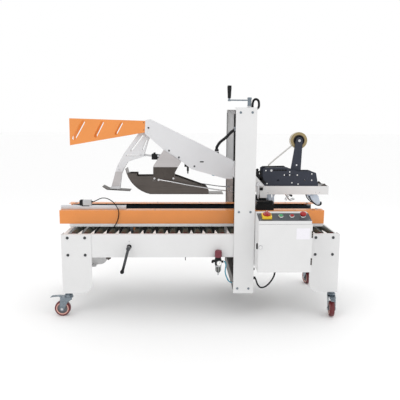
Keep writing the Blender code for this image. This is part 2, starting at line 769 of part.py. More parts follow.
def wipe_cheek(pivot, roller, side):
    """A flat link with round ends from a wipe arm's pivot to its roller."""
    lean = math.degrees(math.atan2(pivot[1] - roller[1], pivot[0] - roller[0]))
    outline = arc(*pivot, 0.013, lean - 90, lean + 90, 6) + arc(*roller, 0.011, lean + 90, lean + 270, 6)
    return plate("XZ", outline, *across(side, 0.0510, 0.0540))


def head_conduit():
    """The flexible conduit from the near column's mouth down to the gland on the arm."""
    points = [
        (0.108, -0.020, 1.0530),
        (0.108, -0.020, 1.0600),
        (0.109, -0.022, 1.0680),
        (0.126, -0.056, 1.1000),
        (0.160, -0.120, 1.1350),
        (0.190, -0.180, 1.1720),
        (0.212, -0.2275, 1.1930),
    ]
    part("head_conduit", "black_plastic", tube(points, 0.0075))


# ---- side rails -----------------------------------------------------------------------------------


def rails():
    """Each side rail: an inward-facing channel on a foot bar, with two posts down to the width spindles."""
    for side in (-1, 1):
        profile = [
            (-RAIL_OUT, RAIL_BOTTOM),
            (-RAIL_IN, RAIL_BOTTOM),
            (-RAIL_IN, RAIL_BOTTOM + 0.002),
            (-RAIL_OUT + 0.002, RAIL_BOTTOM + 0.002),
            (-RAIL_OUT + 0.002, RAIL_TOP - 0.002),
            (-RAIL_IN, RAIL_TOP - 0.002),
            (-RAIL_IN, RAIL_TOP),
            (-RAIL_OUT, RAIL_TOP),
        ]
        channel = plate("YZ", profile if side < 0 else mirrored(profile), RAIL_LEFT, RAIL_RIGHT)
        y = across(side, 0.110, RAIL_OUT - 0.002)
        pieces = [box((-0.852, y[0], 0.557), (0.805, y[1], RAIL_BOTTOM + 0.001))]
        for x in POST_XS:
            y = across(side, POST_Y - 0.012, POST_Y + 0.012)
            pieces.append(box((x - 0.009, y[0], 0.470), (x + 0.009, y[1], 0.560)))
            pieces.append(box((x - 0.018, y[0], 0.437), (x + 0.018, y[1], 0.484)))
        rail = joined(channel, *pieces)
        holes = []
        for x in POST_XS:
            start, end = (x, side * (POST_Y - 0.02), SPINDLE_Z), (x, side * (POST_Y + 0.02), SPINDLE_Z)
            holes.append(cylinder(start, end, SPINDLE_RADIUS + 0.0006))
        holes.append(cylinder((0.420, side * 0.1235, 0.655), (0.420, side * 0.1235, 0.670), 0.008))
        part(f"rail_{side_name(side)}", "orange_paint", cut(rail, *holes))

        inner = 0.096
        middle = side * (inner + 0.0275)
        loops = []
        for radius, low, high in ((0.0275, 0.590, 0.652), (0.0245, 0.580, 0.660)):
            outline = arc(0.770, middle, radius, -90, 90, 7) + arc(-0.870, middle, radius, 90, 270, 7)
            loops.append(plate("XY", outline, low, high))
        part(f"belt_{side_name(side)}", "belt_rubber", cut(*loops))

        y = across(side, 0.105, 0.166)
        gearbox = box((0.362, y[0], RAIL_TOP + GAP), (0.478, y[1], 0.722))
        shaft = cylinder((0.420, middle, 0.645), (0.420, middle, 0.670), 0.0065, 12)
        pulley = cylinder((0.420, middle, 0.592), (0.420, middle, 0.650), 0.0237, 24)
        part(f"belt_motor_{side_name(side)}", "black_plastic", joined(gearbox, shaft, pulley))


def width_drive():
    """The two width spindles across the bed; the infeed one carries the hand crank on its end."""
    z = SPINDLE_Z
    x = POST_XS[0]
    shaft = cylinder((x, -0.360, z), (x, 0.305, z), SPINDLE_RADIUS)
    hub = cylinder((x, -0.3505, z), (x, -0.372, z), 0.0135)
    tip = (x - 0.036, z - 0.136)
    lean = math.degrees(math.atan2(z - tip[1], x - tip[0]))
    outline = arc(x, z, 0.009, lean - 90, lean + 90, 5) + arc(*tip, 0.008, lean + 90, lean + 270, 5)
    arm = plate("XZ", outline, -0.370, -0.362)
    knob = cylinder((tip[0], -0.364, tip[1]), (tip[0], -0.410, tip[1]), 0.0095, 16, 0.0120)
    part("width_spindle_infeed", "zinc", joined(arm, hub, knob, shaft), (x, 0, z))
    x = POST_XS[1]
    part("width_spindle_outfeed", "steel", cylinder((x, -0.305, z), (x, 0.305, z), SPINDLE_RADIUS), (x, 0, z))


def carton_sensor():
    """The photo sensor on its extruded guide along the near rail, with its lead down to the foot bar."""
    guide = box((RAIL_LEFT, -0.128, RAIL_TOP + GAP), (-0.4913, -0.104, 0.6885))
    body = box((-0.7939, -0.132, 0.6875), (-0.7174, -0.100, 0.7250))
    part("carton_sensor", "sensor_plastic", joined(guide, body))
    points = [
        (-0.7168, -0.116, 0.7120),
        (-0.7060, -0.116, 0.7122),
        (-0.684, -0.119, 0.7220),
        (-0.650, -0.130, 0.7380),
        (-0.610, -0.150, 0.7390),
        (-0.565, -0.170, 0.7150),
        (-0.536, -0.1790, 0.6700),
        (-0.535, -0.1800, 0.6250),
        (-0.548, -0.1800, 0.5850),
        (-0.566, -0.1790, 0.5560),
    ]
    part("sensor_cable", "black_plastic", tube(points, 0.003))


# ---- control cabinet ------------------------------------------------------------------------------


def panel_frame(x):
    """Places a shape that stands on the sloped panel, its own Z along the panel's normal."""
    rise = PANEL_BACK[1] - PANEL_FRONT[1]
    run = PANEL_BACK[0] - PANEL_FRONT[0]
    tilt = math.atan2(rise, run)
    return Matrix.Translation((x, *PANEL_POINT)) @ Matrix.Rotation(tilt, 4, "X")


def cabinet():
    outline = [
        (CABINET_FRONT, CABINET_BOTTOM),
        (CABINET_BACK, CABINET_BOTTOM),
        (CABINET_BACK, PANEL_BACK[1]),
        PANEL_BACK,
        PANEL_FRONT,
    ]
    wall = 0.0025
    hollow = [
        (CABINET_FRONT - 0.01, CABINET_BOTTOM + wall),
        (CABINET_BACK - wall, CABINET_BOTTOM + wall),
        (CABINET_BACK - wall, PANEL_BACK[1] - wall),
        (PANEL_BACK[0], PANEL_BACK[1] - wall),
        (CABINET_FRONT + wall, 0.6480),
        (CABINET_FRONT + wall, 0.6370),
        (CABINET_FRONT - 0.01, 0.6370),
    ]
    shell = plate("YZ", outline, CABINET_LEFT, CABINET_RIGHT)
    shell = cut(shell, plate("YZ", hollow, CABINET_LEFT + wall, CABINET_RIGHT - wall))
    collars = []
    for name, x in BUTTON_XS.items():
        outer, bore, height = (0.026, 0.0150, 0.012) if name == "main_switch" else (0.0155, 0.0120, 0.010)
        profile = [(outer, height), (outer, -0.001), (0, -0.001), (0, 0.0015), (bore, 0.0015), (bore, height)]
        collars.append(turned_closed(profile, panel_frame(x)))
    part("control_box", "frame_paint", joined(shell, *collars))

    front, back = CABINET_FRONT - 0.0030, CABINET_FRONT - GAP
    door = box((CABINET_LEFT + 0.001, front, 0.3405), (CABINET_RIGHT + 0.0045, back, 0.6360))
    pieces = []
    hinge = (CABINET_RIGHT + 0.0045, (front + back) / 2)
    for low, high in ((0.3861, 0.4297), (0.5531, 0.5960)):
        pieces.append(cylinder((*hinge, low), (*hinge, high), 0.0040, 12))
    pieces.append(cylinder((0.346, front + 0.001, 0.4968), (0.346, front - 0.008, 0.4968), 0.009, 16))
    part("control_door", "frame_paint", joined(door, *pieces), (*hinge, CABINET_BOTTOM))


def push_buttons():
    profiles = {
        "start_button": [(0, 0.016), (0.0100, 0.016), (0.0113, 0.0145), (0.0113, 0.0065), (0, 0.0065)],
        "stop_button": [(0, 0.016), (0.0100, 0.016), (0.0113, 0.0145), (0.0113, 0.0065), (0, 0.0065)],
        "estop_button": [
            (0, 0.034),
            (0.0120, 0.032),
            (0.0185, 0.026),
            (0.0185, 0.018),
            (0.0100, 0.0165),
            (0.0100, 0.0075),
            (0, 0.0075),
        ],
    }
    finishes = {"start_button": "green_plastic", "stop_button": "red_plastic", "estop_button": "red_plastic"}
    for name, profile in profiles.items():
        place = panel_frame(BUTTON_XS[name])
        part(name, finishes[name], turned(profile, place), place @ Vector((0, 0, 0)))

    place = panel_frame(BUTTON_XS["main_switch"])
    knob = turned([(0, 0.0145), (0.0140, 0.0145), (0.0140, 0.0030), (0, 0.0030)], Matrix.Identity(4))
    bar = box((-0.0065, -0.0175, 0.0135), (0.0065, 0.0175, 0.0320))
    switch = joined(knob, bar)
    switch.data.transform(place)
    part("main_switch", "red_plastic", switch, place @ Vector((0, 0, 0)))


def cabinet_cable():
    points = [
        (0.448, -0.420, 0.3390),
        (0.448, -0.420, 0.3200),
        (0.440, -0.418, 0.2900),
        (0.421, -0.412, 0.2550),
        (0.396, -0.402, 0.2260),
        (0.368, -0.386, 0.2140),
        (0.352, -0.358, 0.2260),
        (0.346, -0.334, 0.2460),
        (0.3390, -0.3235, 0.2555),
        (0.3302, -0.3233, 0.2560),
    ]
    part("cabinet_cable", "black_plastic", tube(points, 0.005))


# ---- compressed air -------------------------------------------------------------------------------


def air_unit():
    x, y = REGULATOR
    body = box((x - 0.021, y - 0.020, 0.348), (x + 0.019, y + 0.020, 0.398))
    cup = [(0, 0.349), (0.017, 0.349), (0.0175, 0.318), (0.015, 0.303)]
    drain = [(0.006, 0.299), (0.006, 0.2827), (0, 0.2827)]
    bowl = turned(cup + drain, Matrix.Translation((x, y, 0)), 20)
    gauge = cylinder((x + 0.004, y - 0.018, 0.368), (x + 0.004, y - 0.034, 0.368), 0.0160, 20)
    inlet = cylinder((x - 0.020, y, 0.375), (x - 0.040, y, 0.375), 0.009, 12)
    outlet = cylinder((x + 0.018, y, 0.370), (x + 0.031, y, 0.370), 0.008, 12)
    bracket = box((x - 0.012, y + 0.018, 0.360), (x + 0.012, -BED_HALF - GAP, 0.392))
    tab = box((x - 0.018, -BED_HALF - 0.0035, 0.385), (x + 0.018, -BED_HALF - GAP, 0.420))
    part("air_regulator", "black_plastic", joined(body, bowl, gauge, inlet, outlet, bracket, tab))

    profile = [(0, 0.443), (0.0195, 0.443), (0.0215, 0.440), (0.0225, 0.404), (0.018, 0.3985), (0, 0.3985)]
    knob = turned(profile, Matrix.Translation((x, y, 0)), 20)
    part("regulator_knob", "knob_plastic", knob, (x, y, 0.3985))

    points = [
        (0.1358, y, 0.3700),
        (0.1400, y, 0.3700),
        (0.1445, y, 0.3690),
        (0.1530, -0.341, 0.3480),
        (0.150, -0.325, 0.3000),
        (0.158, -0.306, 0.2650),
        (0.176, -0.286, 0.2240),
        (0.1950, -0.2805, 0.2115),
        (0.2000, -0.2800, 0.2110),
        (0.2047, -0.2800, 0.2110),
    ]
    part("air_hose", "hose", tube(points, 0.004))


side_beams()
legs()
casters()
roller_bank()
lower_tape_head()
columns()
column_tie()
lift()
head_carriage()
head_arm()
guards()
kicker()
plough()
tape_tray()
tape_head()
head_conduit()
rails()
width_drive()
carton_sensor()
cabinet()
push_buttons()
cabinet_cable()
air_unit()
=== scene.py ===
"""Looks of the flap-folding carton sealer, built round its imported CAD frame.

Pieces are made in millimetres from the middle of the bed on the floor, and piece() moves them to the
frame, which is in metres and whose side beams say where that middle is.
"""

import math

import bmesh
import bpy
from mathutils import Matrix, Vector


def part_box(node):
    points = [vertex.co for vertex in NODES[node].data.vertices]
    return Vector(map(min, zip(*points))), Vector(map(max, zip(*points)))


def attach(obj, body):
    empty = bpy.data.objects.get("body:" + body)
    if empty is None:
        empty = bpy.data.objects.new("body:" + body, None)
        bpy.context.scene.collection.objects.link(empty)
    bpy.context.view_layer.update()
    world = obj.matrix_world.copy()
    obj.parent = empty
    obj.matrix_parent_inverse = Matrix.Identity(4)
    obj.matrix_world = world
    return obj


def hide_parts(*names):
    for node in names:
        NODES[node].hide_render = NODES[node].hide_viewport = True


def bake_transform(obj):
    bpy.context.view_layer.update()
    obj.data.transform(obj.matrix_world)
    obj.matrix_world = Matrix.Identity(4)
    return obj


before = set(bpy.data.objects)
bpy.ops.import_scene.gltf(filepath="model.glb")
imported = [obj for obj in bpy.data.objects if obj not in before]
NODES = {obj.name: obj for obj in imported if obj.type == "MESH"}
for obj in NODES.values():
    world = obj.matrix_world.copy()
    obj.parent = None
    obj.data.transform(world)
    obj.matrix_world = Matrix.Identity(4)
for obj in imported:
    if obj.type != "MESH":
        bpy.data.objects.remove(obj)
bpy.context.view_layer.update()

near_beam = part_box("side_beam_near")
far_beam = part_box("side_beam_far")
BED_MIDDLE = Vector(((near_beam[0].x + near_beam[1].x) / 2, (near_beam[0].y + far_beam[1].y) / 2, 0))

# ---- camera, light and floor ----------------------------------------------------------------------

CAMERA_AT = Vector((-0.1105, -3.304, 1.239))
CAMERA_TURNS = (("Z", -1.89), ("X", 80.83), ("Z", 0.34))
LIT_POINT = Vector((0, 0, 0.7))
LIGHTS = (
    ("key", 16, (-1.9, -2.6, 2.4), 1.8),
    ("fill", 7, (2.6, -1.6, 1.6), 2.2),
    ("back", 9, (0.6, 2.8, 2.2), 2.0),
)
FLOOR_HALF = 60


def show(name, data):
    made = bpy.data.objects.new(name, data)
    bpy.context.scene.collection.objects.link(made)
    return made


def make_camera():
    data = bpy.data.cameras.new("camera")
    data.lens = 44.0
    data.sensor_width = 36.0
    data.clip_end = 50
    camera = show("camera", data)
    place = Matrix.Translation(BED_MIDDLE + CAMERA_AT)
    for axis, degrees in CAMERA_TURNS:
        place = place @ Matrix.Rotation(math.radians(degrees), 4, axis)
    camera.matrix_world = place
    bpy.context.scene.camera = camera


def make_floor():
    floor = bpy.data.meshes.new("floor")
    shape = bmesh.new()
    bmesh.ops.create_grid(shape, x_segments=1, y_segments=1, size=FLOOR_HALF)
    shape.to_mesh(floor)
    shape.free()
    made = show("floor", floor)
    made.location.z = -0.0005
    white = bpy.data.materials.new("floor_white")
    white.use_nodes = True
    shader = white.node_tree.nodes["Principled BSDF"]
    shader.inputs["Base Color"].default_value = (0.98, 0.98, 0.98, 1)
    shader.inputs["Roughness"].default_value = 0.9
    floor.materials.append(white)


def make_studio():
    world = bpy.data.worlds.new("studio")
    world.use_nodes = True
    sky = world.node_tree.nodes["Background"]
    sky.inputs["Color"].default_value = (1, 1, 1, 1)
    sky.inputs["Strength"].default_value = 1.0
    bpy.context.scene.world = world
    bpy.context.scene.view_settings.view_transform = "Standard"
    for name, energy, offset, size in LIGHTS:
        data = bpy.data.lights.new(name, "AREA")
        data.energy = energy
        data.shape = "DISK"
        data.size = size
        light = show(name, data)
        light.location = BED_MIDDLE + LIT_POINT + Vector(offset)
        light.rotation_mode = "QUATERNION"
        light.rotation_quaternion = (-Vector(offset)).to_track_quat("-Z", "Y")


make_camera()
make_floor()
make_studio()

# ---- finishes -------------------------------------------------------------------------------------

FINISHES = {}


def linear(red, green, blue):
    """A screen colour, 0 to 255, as the scene-linear colour that a shader takes."""
    values = [c / 255 for c in (red, green, blue)]
    return tuple(c / 12.92 if c <= 0.04045 else ((c + 0.055) / 1.055) ** 2.4 for c in values)


def finish(name, colour, roughness, metallic=0.0, mottle=0.06, grain=(1, 1, 1), size=60, bump=0.05, **extra):
    """A procedural surface: a colour that drifts, a roughness that varies, and a fine bumped grain."""
    made = bpy.data.materials.new(name)
    made.use_nodes = True
    nodes, links = made.node_tree.nodes, made.node_tree.links
    shader = nodes["Principled BSDF"]
    where = nodes.new("ShaderNodeTexCoord")

    def noise(vector, scale, detail):
        texture = nodes.new("ShaderNodeTexNoise")
        texture.inputs["Scale"].default_value = scale
        texture.inputs["Detail"].default_value = detail
        links.new(vector, texture.inputs["Vector"])
        return texture.outputs["Fac"]

    def ramp(source, low, high, first, last):
        made_ramp = nodes.new("ShaderNodeValToRGB")
        ends = made_ramp.color_ramp.elements
        ends[0].position, ends[1].position = low, high
        ends[0].color, ends[1].color = (*first, 1), (*last, 1)
        links.new(source, made_ramp.inputs["Fac"])
        return made_ramp.outputs["Color"]

    base = linear(*colour)
    clouds = noise(where.outputs["Object"], 7, 4)
    tint = ramp(clouds, 0.3, 0.7, [c * (1 - mottle) for c in base], [min(1, c * (1 + mottle)) for c in base])

    stretch = nodes.new("ShaderNodeMapping")
    stretch.inputs["Scale"].default_value = grain
    links.new(where.outputs["Object"], stretch.inputs["Vector"])
    fine = noise(stretch.outputs["Vector"], size, 5)
    gloss = nodes.new("ShaderNodeMapRange")
    gloss.inputs["To Min"].default_value = max(0.02, roughness - extra.get("spread", 0.08))
    gloss.inputs["To Max"].default_value = roughness + extra.get("spread", 0.08)
    links.new(fine, gloss.inputs["Value"])
    links.new(gloss.outputs["Result"], shader.inputs["Roughness"])

    speckle = nodes.new("ShaderNodeMix")
    speckle.data_type = "RGBA"
    speckle.blend_type = "MULTIPLY"
    speckle.inputs["Factor"].default_value = 1
    worn = ramp(fine, 0.32, 0.5, [extra.get("dust", 0.94)] * 3, (1, 1, 1))
    links.new(tint, speckle.inputs["A"])
    links.new(worn, speckle.inputs["B"])
    links.new(speckle.outputs["Result"], shader.inputs["Base Color"])

    relief = nodes.new("ShaderNodeBump")
    relief.inputs["Strength"].default_value = bump
    relief.inputs["Distance"].default_value = 0.0006
    links.new(fine, relief.inputs["Height"])
    links.new(relief.outputs["Normal"], shader.inputs["Normal"])

    shader.inputs["Metallic"].default_value = metallic
    shader.inputs["Specular IOR Level"].default_value = extra.get("shine", 0.5)
    shader.inputs["Coat Weight"].default_value = extra.get("coat", 0.0)
    shader.inputs["Coat Roughness"].default_value = 0.15
    shader.inputs["Transmission Weight"].default_value = extra.get("clear", 0.0)
    FINISHES[name] = made


ALONG_X = (0.04, 1, 1)
ALONG_Y = (1, 0.04, 1)
ALONG_Z = (1, 1, 0.04)

finish("frame_paint", (222, 222, 222), 0.42, mottle=0.015, size=420, bump=0.12, dust=0.97)
finish("arm_paint", (216, 216, 218), 0.40, mottle=0.02, size=420, bump=0.12, dust=0.97)
finish("orange_paint", (229, 142, 66), 0.34, mottle=0.03, size=380, bump=0.12, coat=0.25)
finish("head_paint", (50, 54, 66), 0.40, size=400, bump=0.18, shine=0.3)
# ski_steel is kept dark to paint the dark reflection that a mirror-bright stainless ski shows.
finish("ski_steel", (90, 84, 80), 0.30, 0.7, mottle=0.12, grain=ALONG_X, size=160, dust=0.8)
finish("sheet_steel", (188, 184, 184), 0.36, 0.75, grain=ALONG_X, size=200)
finish("dark_steel", (74, 68, 64), 0.45, 0.6, mottle=0.15, size=90, dust=0.75)
finish("zinc", (128, 138, 146), 0.28, 0.85, mottle=0.10, size=45, bump=0.08, dust=0.85)
finish("bolt_steel", (74, 76, 78), 0.34, 0.7, mottle=0.15, size=90, dust=0.8)
finish("tape_film", (132, 126, 116), 0.24, grain=(1, 20, 1), coat=0.4)
finish("steel", (205, 205, 207), 0.24, 1.0, mottle=0.05, grain=ALONG_Z, size=260, bump=0.06)
finish("turned_steel", (205, 205, 207), 0.25, 1.0, mottle=0.05, grain=ALONG_Y, size=260)
finish("aluminium", (214, 216, 219), 0.34, 0.95, mottle=0.04, grain=ALONG_X, size=260)
finish("roller_sleeve", (56, 61, 54), 0.38, 0.2, mottle=0.12, grain=ALONG_Y, size=140, shine=0.35)
finish("roller_cap", (112, 44, 42), 0.45, mottle=0.10, size=160, bump=0.1)
finish("white_plastic", (246, 246, 244), 0.42, mottle=0.02, size=160, bump=0.06)
finish("black_plastic", (20, 21, 23), 0.48, mottle=0.15, size=220, bump=0.2, shine=0.25)
finish("black_rubber", (18, 19, 21), 0.62, mottle=0.15, size=180, bump=0.3, shine=0.2)
finish("belt_rubber", (22, 32, 40), 0.55, mottle=0.12, grain=ALONG_X, size=220, bump=0.3, shine=0.3)
finish("tread", (98, 18, 24), 0.34, mottle=0.10, size=120, bump=0.12, coat=0.15)
finish("tread_ring", (216, 168, 156), 0.40, mottle=0.05, size=160)
finish("wheel_hub", (112, 112, 116), 0.42, 0.3, mottle=0.10, size=120)
finish("tape", (150, 132, 88), 0.26, grain=(1, 30, 1), coat=0.5, bump=0.25)
finish("card", (120, 92, 62), 0.75, mottle=0.10, size=180, bump=0.3)
finish("red_plastic", (162, 8, 12), 0.36, mottle=0.05, size=200, coat=0.1)
finish("green_plastic", (34, 150, 84), 0.30, mottle=0.05, size=200, coat=0.3)
finish("yellow_plastic", (243, 203, 56), 0.36, mottle=0.04, size=200)
finish("knob_plastic", (112, 40, 54), 0.42, mottle=0.08, size=200)
finish("hose", (52, 146, 172), 0.28, mottle=0.05, size=120, coat=0.4)
finish("panel", (62, 66, 72), 0.44, size=320, bump=0.15)
finish("housing", (186, 188, 190), 0.46, mottle=0.04, size=260, bump=0.15)
finish("bowl", (96, 98, 92), 0.16, mottle=0.08, size=80, clear=0.55, spread=0.05)
finish("pale_blue", (196, 208, 222), 0.38, 0.25, mottle=0.04, size=200)
finish("label", (236, 234, 240), 0.5, mottle=0.015, size=240, bump=0.03)
finish("chain", (70, 64, 58), 0.42, 0.8, mottle=0.2, size=160, dust=0.7)

# ---- shapes ---------------------------------------------------------------------------------------

PLANE = {
    "XY": Matrix.Identity(4),
    "XZ": Matrix(((1, 0, 0, 0), (0, 0, -1, 0), (0, 1, 0, 0), (0, 0, 0, 1))),
    "YZ": Matrix(((0, 0, 1, 0), (1, 0, 0, 0), (0, 1, 0, 0), (0, 0, 0, 1))),
}
ACROSS = {"XY": 2, "XZ": 1, "YZ": 0}
MM = 0.001
SIDES = (-1, 1)
FAR, NEAR = (0, 1, 0), (0, -1, 0)
SHARP = math.radians(38)


def path(text):
    """Points from a text of numbers, with commas between the points."""
    return [tuple(map(float, point.split())) for point in text.split(",")]


def facing(start, way):
    """Places a shape at a point with its own Z along a direction."""
    return Matrix.Translation(start) @ Vector(way).to_track_quat("Z", "Y").to_matrix().to_4x4()


def upright(x, y):
    return Matrix.Translation((x, y, 0))


def arc(a, b, radius, start, end, steps):
    angles = [math.radians(start + (end - start) * i / (steps - 1)) for i in range(steps)]
    return [(a + radius * math.cos(t), b + radius * math.sin(t)) for t in angles]


def ring(a, b, radius, steps=24):
    return arc(a, b, radius, 0, 360 * (steps - 1) / steps, steps)


def rounded(left, low, right, high, radius):
    """A rectangle's outline with round corners."""
    outline = arc(right - radius, high - radius, radius, 0, 90, 5)
    outline += arc(left + radius, high - radius, radius, 90, 180, 5)
    outline += arc(left + radius, low + radius, radius, 180, 270, 5)
    return outline + arc(right - radius, low + radius, radius, 270, 360, 5)


def stadium(start, end, radius, steps=7):
    """The outline of a slot with round ends between two points."""
    lean = math.degrees(math.atan2(end[1] - start[1], end[0] - start[0]))
    outline = arc(*end, radius, lean - 90, lean + 90, steps)
    return outline + arc(*start, radius, lean + 90, lean + 270, steps)


def disc(radius, low, high):
    """The profile of a plain cylinder."""
    return [(0, low), (radius, low), (radius, high), (0, high)]


def sleeve(inner, outer, low, high):
    """The profile of a plain tube."""
    return [(inner, low), (outer, low), (outer, high), (inner, high)]


def mirrored(profile):
    """A profile that goes on with its own mirror image below."""
    return profile + [(radius, -height) for radius, height in reversed(profile) if height]


def across(side, inner, outer):
    return (-outer, -inner) if side < 0 else (inner, outer)


def both(face, spots):
    """Points on both side faces at a distance from the middle, each with its way out."""
    return [((x, side * face, z), (0, side, 0)) for x, z in spots for side in SIDES]


class Shape:
    """Collects solids in one mesh. The methods with a plural name make one on each side of the middle."""

    def __init__(self):
        self.mesh = bmesh.new()

    def block(self, low, high):
        size = [h - l for l, h in zip(low, high)]
        middle = [(h + l) / 2 for l, h in zip(low, high)]
        place = Matrix.Translation(middle) @ Matrix.Diagonal((*size, 1))
        bmesh.ops.create_cube(self.mesh, size=1, matrix=place)
        return self

    def blocks(self, xs, ys, zs):
        for side in SIDES:
            low, high = across(side, *ys)
            self.block((xs[0], low, zs[0]), (xs[1], high, zs[1]))
        return self

    def rod(self, start, end, radius, sides=24, end_radius=None):
        start, end = Vector(start), Vector(end)
        bmesh.ops.create_cone(
            self.mesh,
            cap_ends=True,
            segments=sides,
            radius1=radius,
            radius2=radius if end_radius is None else end_radius,
            depth=(end - start).length,
            matrix=facing((start + end) / 2, end - start),
        )
        return self

    def rods(self, x, z, inner, outer, radius, sides=24):
        for side in SIDES:
            self.rod((x, side * inner, z), (x, side * outer, z), radius, sides)
        return self

    def bar(self, x, z, half, radius, sides=24):
        """A rod right across the middle."""
        return self.rod((x, -half, z), (x, half, z), radius, sides)

    def turned(self, profile, place, steps=32):
        """Turns (radius, height) points about the place's Z. One that starts off the axis makes a ring."""
        rings = []
        for radius, height in profile:
            circle = ring(0, 0, radius, steps) if radius else [(0, 0)]
            rings.append([self.mesh.verts.new(place @ Vector((x, y, height))) for x, y in circle])
        pairs = list(zip(rings, rings[1:]))
        if profile[0][0]:
            pairs.append((rings[-1], rings[0]))
        for lower, upper in pairs:
            for i in range(steps):
                spots = ((lower, i), (lower, i + 1), (upper, i + 1), (upper, i))
                corners = list(dict.fromkeys(circle[k % steps % len(circle)] for circle, k in spots))
                if len(corners) > 2:
                    self.mesh.faces.new(corners)
        return self

    def slab(self, plane, outline, low, high, holes=()):
        """An outline with outlined holes in a plane, made thick from low to high across it."""
        curve = bpy.data.curves.new("outline", "CURVE")
        curve.dimensions = "2D"
        curve.fill_mode = "BOTH"
        curve.extrude = (high - low) / 2
        for loop in [outline, *holes]:
            spline = curve.splines.new("POLY")
            spline.points.add(len(loop) - 1)
            spline.use_cyclic_u = True
            for point, (a, b) in zip(spline.points, loop):
                point.co = (a, b, 0, 1)
        source = show("outline", curve)
        bpy.context.view_layer.update()
        made = bpy.data.meshes.new_from_object(source.evaluated_get(bpy.context.evaluated_depsgraph_get()))
        offset = [0, 0, 0]
        offset[ACROSS[plane]] = (low + high) / 2
        made.transform(Matrix.Translation(offset) @ PLANE[plane])
        self.mesh.from_mesh(made)
        bpy.data.objects.remove(source)
        bpy.data.meshes.remove(made)
        return self

    def slabs(self, outline, inner, outer, holes=()):
        for side in SIDES:
            self.slab("XZ", outline, *across(side, inner, outer), holes)
        return self

    def tube(self, points, radius, sides, steps, bulge=(0, 0)):
        """A cord along the smooth curve through the points. A bulge is (ribs a millimetre, their height)."""
        route = smooth_route(points, steps)
        normal = Vector((0, 0, 1)).cross(route[1] - route[0])
        if normal.length < 1e-6:
            normal = Vector((1, 0, 0))
        rings, length = [], 0.0
        for i, point in enumerate(route):
            after, before = route[min(i + 1, len(route) - 1)], route[max(i - 1, 0)]
            way = (after - before).normalized()
            normal = (normal - way * normal.dot(way)).normalized()
            side = way.cross(normal)
            if i:
                length += (point - route[i - 1]).length
            width = radius + bulge[1] * math.sin(math.tau * bulge[0] * length)
            circle = ring(0, 0, width, sides)
            rings.append([self.mesh.verts.new(point + normal * a + side * b) for a, b in circle])
        for lower, upper in zip(rings, rings[1:]):
            for i in range(sides):
                j = (i + 1) % sides
                self.mesh.faces.new((lower[i], lower[j], upper[j], upper[i]))
        self.mesh.faces.new(rings[0][::-1])
        self.mesh.faces.new(rings[-1])
        return self

    def moved(self, matrix, since=0):
        """Moves what was added after the first vertices."""
        self.mesh.verts.ensure_lookup_table()
        bmesh.ops.transform(self.mesh, matrix=matrix, verts=self.mesh.verts[since:])
        return self

    def around(self, count, place, add, first=0.0, step=None):
        """Adds the same thing again and again, turned about a place's Z by equal steps."""
        for i in range(count):
            since = len(self.mesh.verts)
            add(self, i)
            angle = first + i * (math.tau / count if step is None else step)
            self.moved(place @ Matrix.Rotation(angle, 4, "Z"), since)
        return self


def smooth_route(points, steps):
    ends = [2 * Vector(points[0]) - Vector(points[1])]
    known = ends + [Vector(p) for p in points] + [2 * Vector(points[-1]) - Vector(points[-2])]
    route = []
    for i in range(1, len(known) - 2):
        before, here, there, after = known[i - 1 : i + 3]
        for step in range(steps):
            t = step / steps
            bend = (2 * before - 5 * here + 4 * there - after) * t * t
            twist = (3 * here - before - 3 * there + after) * t**3
            route.append(0.5 * (2 * here + (there - before) * t + bend + twist))
    route.append(known[-2])
    return route


def soften(made, width):
    """Rounds the sharp edges of a mesh by a small bevel in millimetres and keeps its flat faces flat."""
    weld = made.modifiers.new("weld", "WELD")
    weld.merge_threshold = 0.00002
    bevel = made.modifiers.new("edges", "BEVEL")
    bevel.width = width * MM
    bevel.segments = 2
    bevel.limit_method = "ANGLE"
    bevel.angle_limit = SHARP
    even = made.modifiers.new("normals", "WEIGHTED_NORMAL")
    even.keep_sharp = True


def piece(name, body, look, shape, replaces=(), edge=0.6):
    """Makes a shape a shown piece that rides on a body and stands for the CAD nodes it replaces."""
    bmesh.ops.remove_doubles(shape.mesh, verts=shape.mesh.verts, dist=0.001)
    bmesh.ops.recalc_face_normals(shape.mesh, faces=shape.mesh.faces)
    shape.moved(Matrix.Translation(BED_MIDDLE) @ Matrix.Scale(MM, 4))
    mesh = bpy.data.meshes.new(name)
    shape.mesh.to_mesh(mesh)
    shape.mesh.free()
    mesh.materials.append(FINISHES[look])
    mesh.shade_smooth()
    made = show(name, mesh)
    if edge:
        soften(made, edge)
    else:
        mesh.set_sharp_from_angle(angle=SHARP)
    if body:
        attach(made, body)
    if replaces:
        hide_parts(*replaces)
    return made


def dress(look, *names, edge=0.8):
    """Gives CAD nodes their finish and rounds their edges."""
    for name in names:
        node = NODES[name]
        custom = node.data.attributes.get("custom_normal")
        if custom:
            node.data.attributes.remove(custom)
        node.data.materials.clear()
        node.data.materials.append(FINISHES[look])
        node.data.shade_smooth()
        if edge:
            soften(node, edge)


def bolts(name, body, look, places, radius, washer, head):
    """Hexagon bolts with washers, each at a point on a face and pointing out of it."""
    shape = Shape()
    for point, way in places:
        out, start = Vector(way).normalized(), Vector(point)
        shape.rod(start - out, start + out * 1.3, washer)
        shape.rod(start + out, start + out * (1.3 + head), radius, 6)
        shape.rod(start + out * (1 + head), start + out * (1.8 + head), radius * 0.72, 20, radius * 0.6)
    return piece(name, body, look, shape, edge=0.3)


def cap_screws(name, body, look, places, radius):
    """Button-head socket screws, each at a point on a face and pointing out of it."""
    shape = Shape()
    dome = [(0, -0.2), (1, -0.2), (1, 0.12), (0.9, 0.34), (0.66, 0.5), (0.42, 0.55), (0.36, 0.3), (0, 0.3)]
    for point, way in places:
        shape.turned(dome, facing(point, way) @ Matrix.Scale(radius, 4), 18)
    return piece(name, body, look, shape, edge=0)


# ---- bed ------------------------------------------------------------------------------------------

